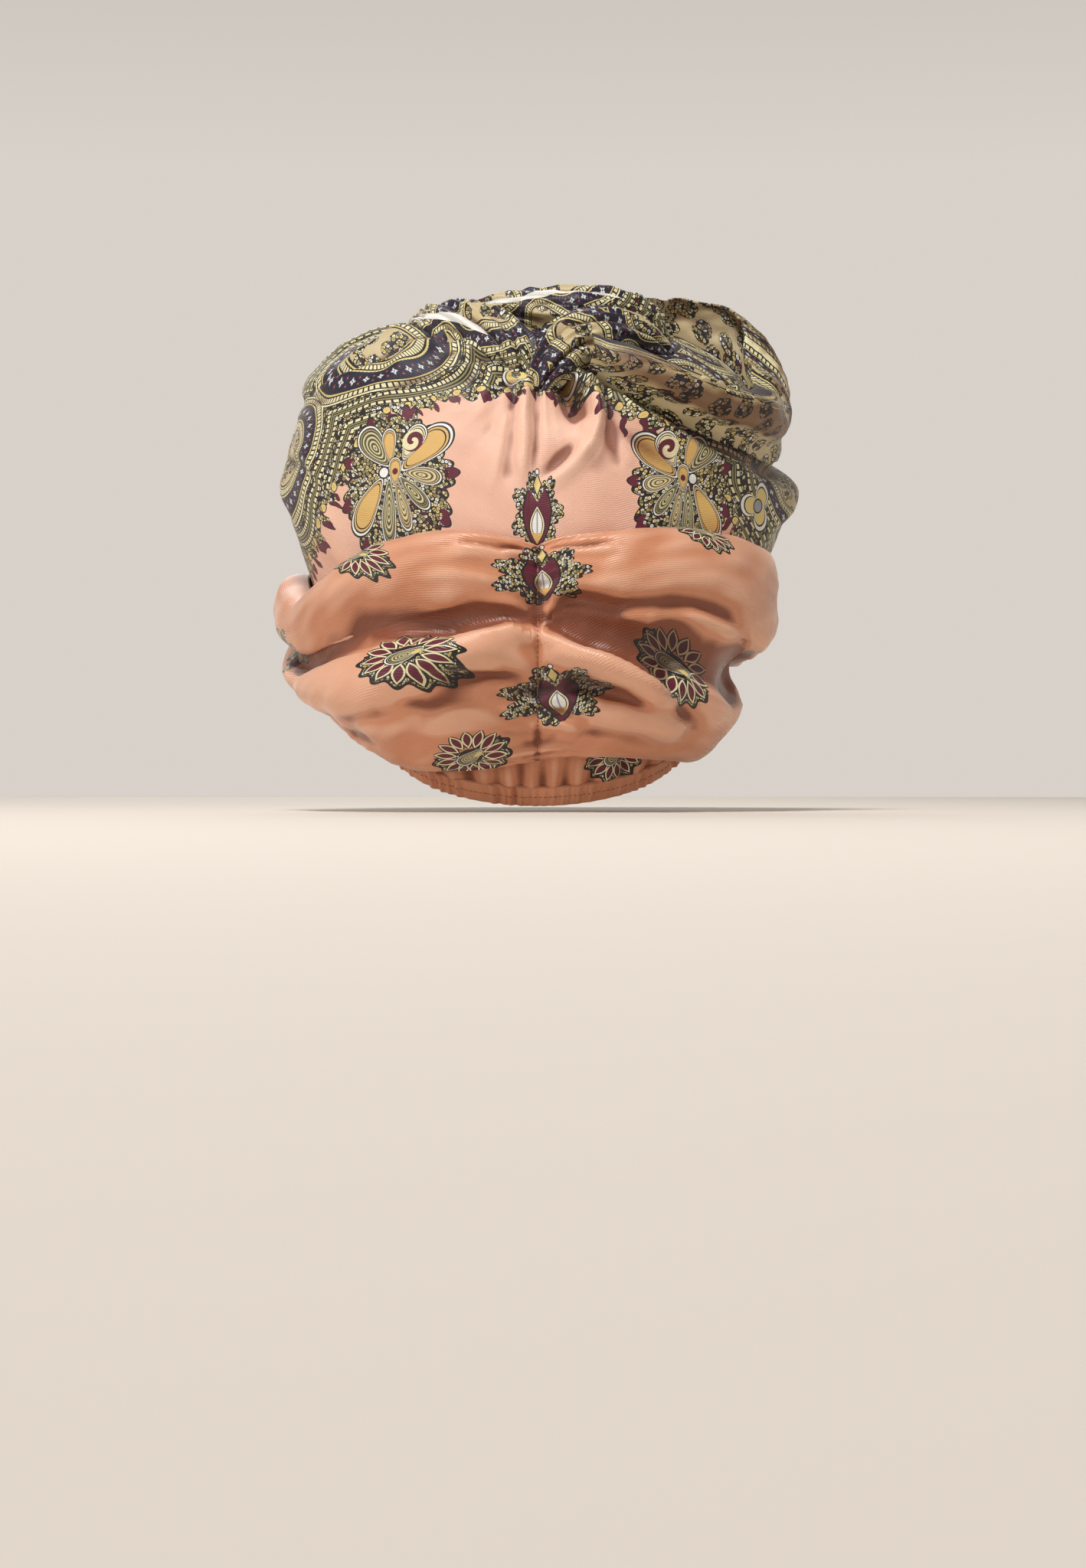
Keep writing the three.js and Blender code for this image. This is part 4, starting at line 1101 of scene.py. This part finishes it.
# Painted shade on the pouch along the path UNDER_ROLL
shade = 3.0 * np.exp(-((path_gap(UNDER_ROLL, pouch_azimuth, down, POUCH_LENGTH)[0] / 13) ** 2))
pouch_piece = pouch.piece(BACK_SILK, CLOTH, shade=shade)

# The bow loop that stands up from the knot
across, down = grid(np.linspace(0, len(LOOP_SECTIONS) - 1, 241), np.linspace(0, 1, 45))
loop_points, loop_azimuth = loop_at(across, down)
loop_normals = outward(loop_points)
flat_x, flat_y = distance_along(loop_points, 1), distance_along(loop_points, 0)
hold = smooth(5 * np.minimum(across / 13, 1 - across / 13)) * smooth(down * 4)
lift = (0.7 * ripple(flat_x, flat_y, 12, 30) + 0.35 * ripple(flat_x, flat_y * 1.5, 13, 12)) * hold
near_side = smooth((across - 6.2) / 1.5)
lift += near_side * hold * (3.5 * smooth((down - 0.42) / 0.16) - 1.5 * np.exp(-(((down - 0.36) / 0.1) ** 2)))
loop_points = loop_points + loop_normals * lift[..., None]
loop = Cloth("Bow_loop", loop_points)
loop.weave(flat_x + 900, flat_y)
one_ground(loop, IN_BORDER)
lip = np.exp(-(((across - 5.9) / 0.75) ** 2))
ring = 9 + near_side * 12 * smooth((down - 0.5) / 0.4)
ring = np.where(lip > 0.08, np.maximum(ring, 34 * lip), ring)
spots = loop.at_corners(np.stack([ring, np.where(lip > 0.08, flat_y, flat_x), flat_x * 0], -1))
loop.keep("band", spots)
loop.print_motifs([])
loop_piece = loop.piece(BORDER_SILK, CLOTH)


# Middles of the paisleys on a strand: (angle round it, length along it in mm)
STRAND_PAISLEYS = ((0.9, -8), (3.6, 8), (1.7, 30), (5.2, 38), (3.0, 58), (0.4, 66), (4.6, 84))
STRAND_ROUND = 17  # mm of cloth per radian round a strand
STRAND_TWIST = 0.26


def gathered_strand(name, table, seed, pale_edge):
    """A strand of the knot: cloth drawn together lengthwise, with many small pleats."""
    angle, place = grid(np.linspace(0, 2 * math.pi, 121), np.linspace(0, len(table) - 1, 111))
    middle, normal, radius = strand_at(table, place)
    forward = unit(np.gradient(middle, axis=0))
    sideways = unit(np.cross(normal, forward))
    up = np.cross(forward, sideways)
    turned = angle + place * STRAND_TWIST
    length = distance_along(middle, 0)
    pleats = 2.6 * (np.abs(np.cos(4 * angle + 0.5 * np.sin(length / 19))) - 0.6)
    fine = 1.3 * (np.abs(np.cos(7 * angle + 1.1 * np.sin(length / 13))) - 0.6)
    pleats += fine + 0.4 * np.cos(21 * angle + length / 9)
    uneven = 0.5 * ripple(length, 14 * np.cos(angle), seed, 14)
    pleats += uneven + 0.3 * ripple(14 * np.sin(angle), length, seed + 1, 9)
    reach = radius + pleats * np.clip(radius / 12, 0.4, 1)
    spoke = sideways * np.cos(turned)[..., None] + up * np.sin(turned)[..., None]
    points = middle + spoke * reach[..., None]
    strand = Cloth(name, points, ring=True, ends=True)
    strand.weave(angle * 12 + 60 * seed, length)
    one_ground(strand, IN_BORDER)
    ring, arc = np.full_like(angle, NO_RING), 0 * angle
    for turns, along in STRAND_PAISLEYS:
        gap_x = ((angle - turns + math.pi) % (2 * math.pi) - math.pi) * STRAND_ROUND
        gap_y = (length - along) * 1.5
        gap = np.hypot(gap_x, gap_y) + 2 * np.sin(3 * np.arctan2(gap_y, gap_x))
        arc = np.where(gap < ring, np.arctan2(gap_y, gap_x) * 26, arc)
        ring = np.minimum(ring, gap)
    strand.keep("band", strand.at_corners(np.stack([ring, arc, 0 * ring], -1)))
    strand.print_motifs([])
    selvedge = 1.4 - 12 * np.abs(angle - math.pi / 2 - 0.3 * np.sin(length / 18))
    selvedge -= 4 * smooth(np.abs(length / length.max() - 0.42) * 5 - 1.1)
    return strand.piece(BORDER_SILK, ring=True, white=selvedge if pale_edge else -1.0)


strand_pieces = {
    node: gathered_strand(node.capitalize(), table, seed, node != "knot_right_strand")
    for seed, (node, table) in enumerate(STRANDS.items(), 20)
}


BAND_LAP = 0.8  # mm that a band reaches above the rim, so that no slit shows
BAND_STRETCH = 1.1  # length down the band over its height


def rim_band(name, ends, steps, size, ruffles, material, edge, stitch_row):
    """A closed band that follows the crown's rim, and the path of the stitches on it."""
    share = np.linspace(0, 1, steps)
    azimuth = ends[0] + (ends[1] - ends[0]) * share
    height, thickness, ruffle = size
    point, normal = crown_at(azimuth, np.ones_like(azimuth))
    down = unit(point - crown_at(azimuth, np.full_like(azimuth, 0.98))[0])
    swing = 2 * np.pi * ruffles * share
    wave = 1.4 * (np.abs(np.cos(swing + 2.6 * np.sin(swing * 0.13))) - 0.6)
    wave += 0.8 * np.cos(swing * 1.7 + 2 * np.sin(swing * 0.21))
    wave *= ruffle * (0.7 + 0.5 * np.sin(swing * 0.31 + 1))
    angle = np.linspace(0, 2 * math.pi, 41)
    deep = height * (0.5 - 0.5 * np.cos(angle))[:, None]
    out = thickness / 2 * np.clip(np.sin(angle) * 2.2, -1, 1)[:, None]
    out = out + wave * smooth(np.sin(angle) + 0.3)[:, None] - CLOTH / 2
    points = point + down * (deep * BAND_STRETCH - BAND_LAP)[..., None] + normal * out[..., None]
    points = points.transpose(1, 0, 2)
    band = Cloth(name, points, ring=True, ends=True)
    length = distance_along(points, 0)
    band.weave(distance_along(points, 1), length)
    one_ground(band, edge)
    no_bands(band)
    band.print_motifs([])
    # The extra shade cancels the band's depth, so it gets no painted shade and no painted highlight
    piece = band.piece(material, ring=True, shade=-1.0 - band.hollows(True))
    return piece, points[:, stitch_row] + normal * 0.15


casing_piece, casing_path = rim_band(
    "Nape_casing", (-CASING_END, CASING_END), 620, (CASING_HEIGHT, CASING_THICKNESS, CASING_RUFFLE), 30,
    BACK_SILK, IN_FIELD, 10,
)
hem_piece, hem_path = rim_band(
    "Brow_hem", (CASING_END + 0.2, 360 - CASING_END - 0.2), 260, (HEM_HEIGHT, HEM_THICKNESS, 0.1), 9,
    BORDER_SILK, IN_BORDER, 12,
)


def plain(name, colour, roughness):
    """A material of one colour."""
    material = bpy.data.materials.new(name)
    material.use_nodes = True
    shader = material.node_tree.nodes["Principled BSDF"]
    shader.inputs["Base Color"].default_value = colour
    shader.inputs["Roughness"].default_value = roughness
    return material


# Rows of small stitches that follow a path
def socket(tree, name, kind, way="INPUT"):
    return tree.interface.new_socket(name, in_out=way, socket_type="NodeSocket" + kind)


def stitch_tree(material):
    """Repeats one short thread along a path and lays each along it."""
    tree = bpy.data.node_groups.new("Row of stitches", "GeometryNodeTree")
    socket(tree, "Path", "Geometry")
    for name in ("Spacing", "Thread length", "Thread thickness"):
        socket(tree, name, "Float")
    socket(tree, "Seed", "Int")
    socket(tree, "Stitches", "Geometry", "OUTPUT")

    def node(kind, *wires):
        return wired(tree, kind, *wires)

    given = node("NodeGroupInput").outputs
    curve = node("GeometryNodeMeshToCurve", ("Mesh", given["Path"]))
    spaced = node("GeometryNodeResampleCurve", ("Curve", curve.outputs[0]))
    spaced.mode = "LENGTH"
    tree.links.new(given["Spacing"], spaced.inputs["Length"])
    half = node("ShaderNodeMath", (0, given["Thread thickness"]))
    half.operation, half.inputs[1].default_value = "MULTIPLY", 0.5
    thread = node("GeometryNodeMeshCylinder", ("Radius", half.outputs[0]), ("Depth", given["Thread length"]))
    thread.inputs["Vertices"].default_value = 6
    tangent = node("GeometryNodeInputTangent")
    lay = node("FunctionNodeAlignRotationToVector", ("Vector", tangent.outputs[0]))
    lay.axis = "Z"
    uneven = node("FunctionNodeRandomValue", ("Seed", given["Seed"]))
    uneven.data_type = "FLOAT"
    uneven.inputs[2].default_value, uneven.inputs[3].default_value = 0.8, 1.1
    row = node(
        "GeometryNodeInstanceOnPoints", ("Points", spaced.outputs[0]), ("Instance", thread.outputs["Mesh"]),
        ("Rotation", lay.outputs[0]), ("Scale", uneven.outputs[1]),
    )
    joined = node("GeometryNodeRealizeInstances", ("Geometry", row.outputs[0]))
    dressed = node("GeometryNodeSetMaterial", ("Geometry", joined.outputs[0]))
    dressed.inputs["Material"].default_value = material
    node("NodeGroupOutput", ("Stitches", dressed.outputs[0]))
    return tree


THREAD = plain("Sewing thread", dye(150, 92, 66), 0.6)
STITCHES = stitch_tree(THREAD)


def stitched_row(name, path, spacing, seed):
    """A row of stitches along a path given in millimetres, as one plain mesh."""
    mesh = bpy.data.meshes.new(name)
    mesh.from_pydata((np.asarray(path) / 1000).tolist(), [(i, i + 1) for i in range(len(path) - 1)], [])
    piece = added(name, mesh)
    row = piece.modifiers.new("Row", "NODES")
    row.node_group = STITCHES
    sizes = {"Spacing": spacing / 1000, "Thread length": spacing * 0.62 / 1000}
    sizes.update({"Thread thickness": 0.0004, "Seed": seed})
    for item in STITCHES.interface.items_tree:
        if item.name in sizes:
            row[item.identifier] = sizes[item.name]
    bpy.context.view_layer.update()
    sewn = bpy.data.meshes.new_from_object(piece.evaluated_get(bpy.context.evaluated_depsgraph_get()))
    piece.modifiers.clear()
    piece.data = sewn
    return piece


middle = int(np.argmin(np.abs(pouch_azimuth[0])))
rows = slice(int(0.28 * len(pouch_points)), int(0.86 * len(pouch_points)))
seam_piece = stitched_row("Pouch_seam", (pouch_points + pouch_normals * 0.25)[rows, middle], 2.6, 1)
casing_row = stitched_row("Casing_stitches", casing_path, 2.4, 2)
hem_row = stitched_row("Hem_stitches", hem_path, 2.8, 3)

# Which piece stands for which solid, and what it is made of
wrap = {
    "crown": (crown_piece, "printed_silk"),
    "back_pouch": (pouch_piece, "back_silk"),
    "bow_loop": (loop_piece, "border_silk"),
    "nape_casing": (casing_piece, "back_silk"),
    "brow_hem": (hem_piece, "border_silk"),
}
wrap.update({node: (piece, "border_silk") for node, piece in strand_pieces.items()})
for node, (piece, finish) in wrap.items():
    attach(piece, "root")
    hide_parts(node)
for piece, finish in ((seam_piece, "back_silk"), (casing_row, "back_silk"), (hem_row, "border_silk")):
    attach(piece, "root")


# Floor, light and camera, in metres
FLOOR_GAP, FLOOR_RADIUS, FLOOR_SIDES = 0.002, 1.6, 96
WRAP_MIDDLE = Vector((0, 0, 0.03))


def floor(height, radius):
    turns = [2 * math.pi * i / FLOOR_SIDES for i in range(FLOOR_SIDES)]
    mesh = bpy.data.meshes.new("Floor")
    rim = [(radius * math.cos(turn), radius * math.sin(turn), height) for turn in turns]
    mesh.from_pydata(rim, [], [range(FLOOR_SIDES)])
    mesh.materials.append(plain("Pale linen floor", dye(222, 214, 204), 0.9))
    piece = added("Floor", mesh)


def soft_light(name, place, size, power, colour):
    lamp = bpy.data.lights.new(name, "AREA")
    lamp.shape, lamp.size, lamp.energy, lamp.color = "DISK", size, power, colour
    light = added(name, lamp)
    light.location = place
    aim = WRAP_MIDDLE - Vector(place)
    light.rotation_euler = aim.to_track_quat("-Z", "Y").to_euler()


floor(cad_box[0][2] - FLOOR_GAP, FLOOR_RADIUS)
soft_light("Window", (0.3, 1.0, 1.9), 0.6, 41, (1.0, 0.98, 0.95))
soft_light("Side", (1.6, 1.1, 0.15), 1.2, 9, (1.0, 0.98, 0.96))
soft_light("Front", (0.3, -1.7, 1.2), 1.4, 14, (1.0, 0.98, 0.96))
world = bpy.data.worlds.new("Pale room")
world.use_nodes = True
tree = world.node_tree
height = Print(tree).split(tree.nodes.new("ShaderNodeTexCoord").outputs["Generated"])[2]
sky = Print(tree).over(dye(238, 231, 223), dye(110, 106, 102), (abs(height) - 0.2) * 2.5)
tree.links.new(sky, tree.nodes["Background"].inputs["Color"])
tree.nodes["Background"].inputs["Strength"].default_value = 0.8
bpy.context.scene.world = world
camera = added("Camera", bpy.data.cameras.new("Camera"))
camera.data.lens, camera.data.sensor_width, camera.data.clip_start = 69.3, 36, 0.01
camera.location, camera.rotation_euler = (-0.0027, 1.5, -0.089), (math.pi / 2, 0, math.pi)
bpy.context.scene.camera = camera
bpy.context.scene.view_settings.view_transform = "Standard"

bpy.context.view_layer.update()
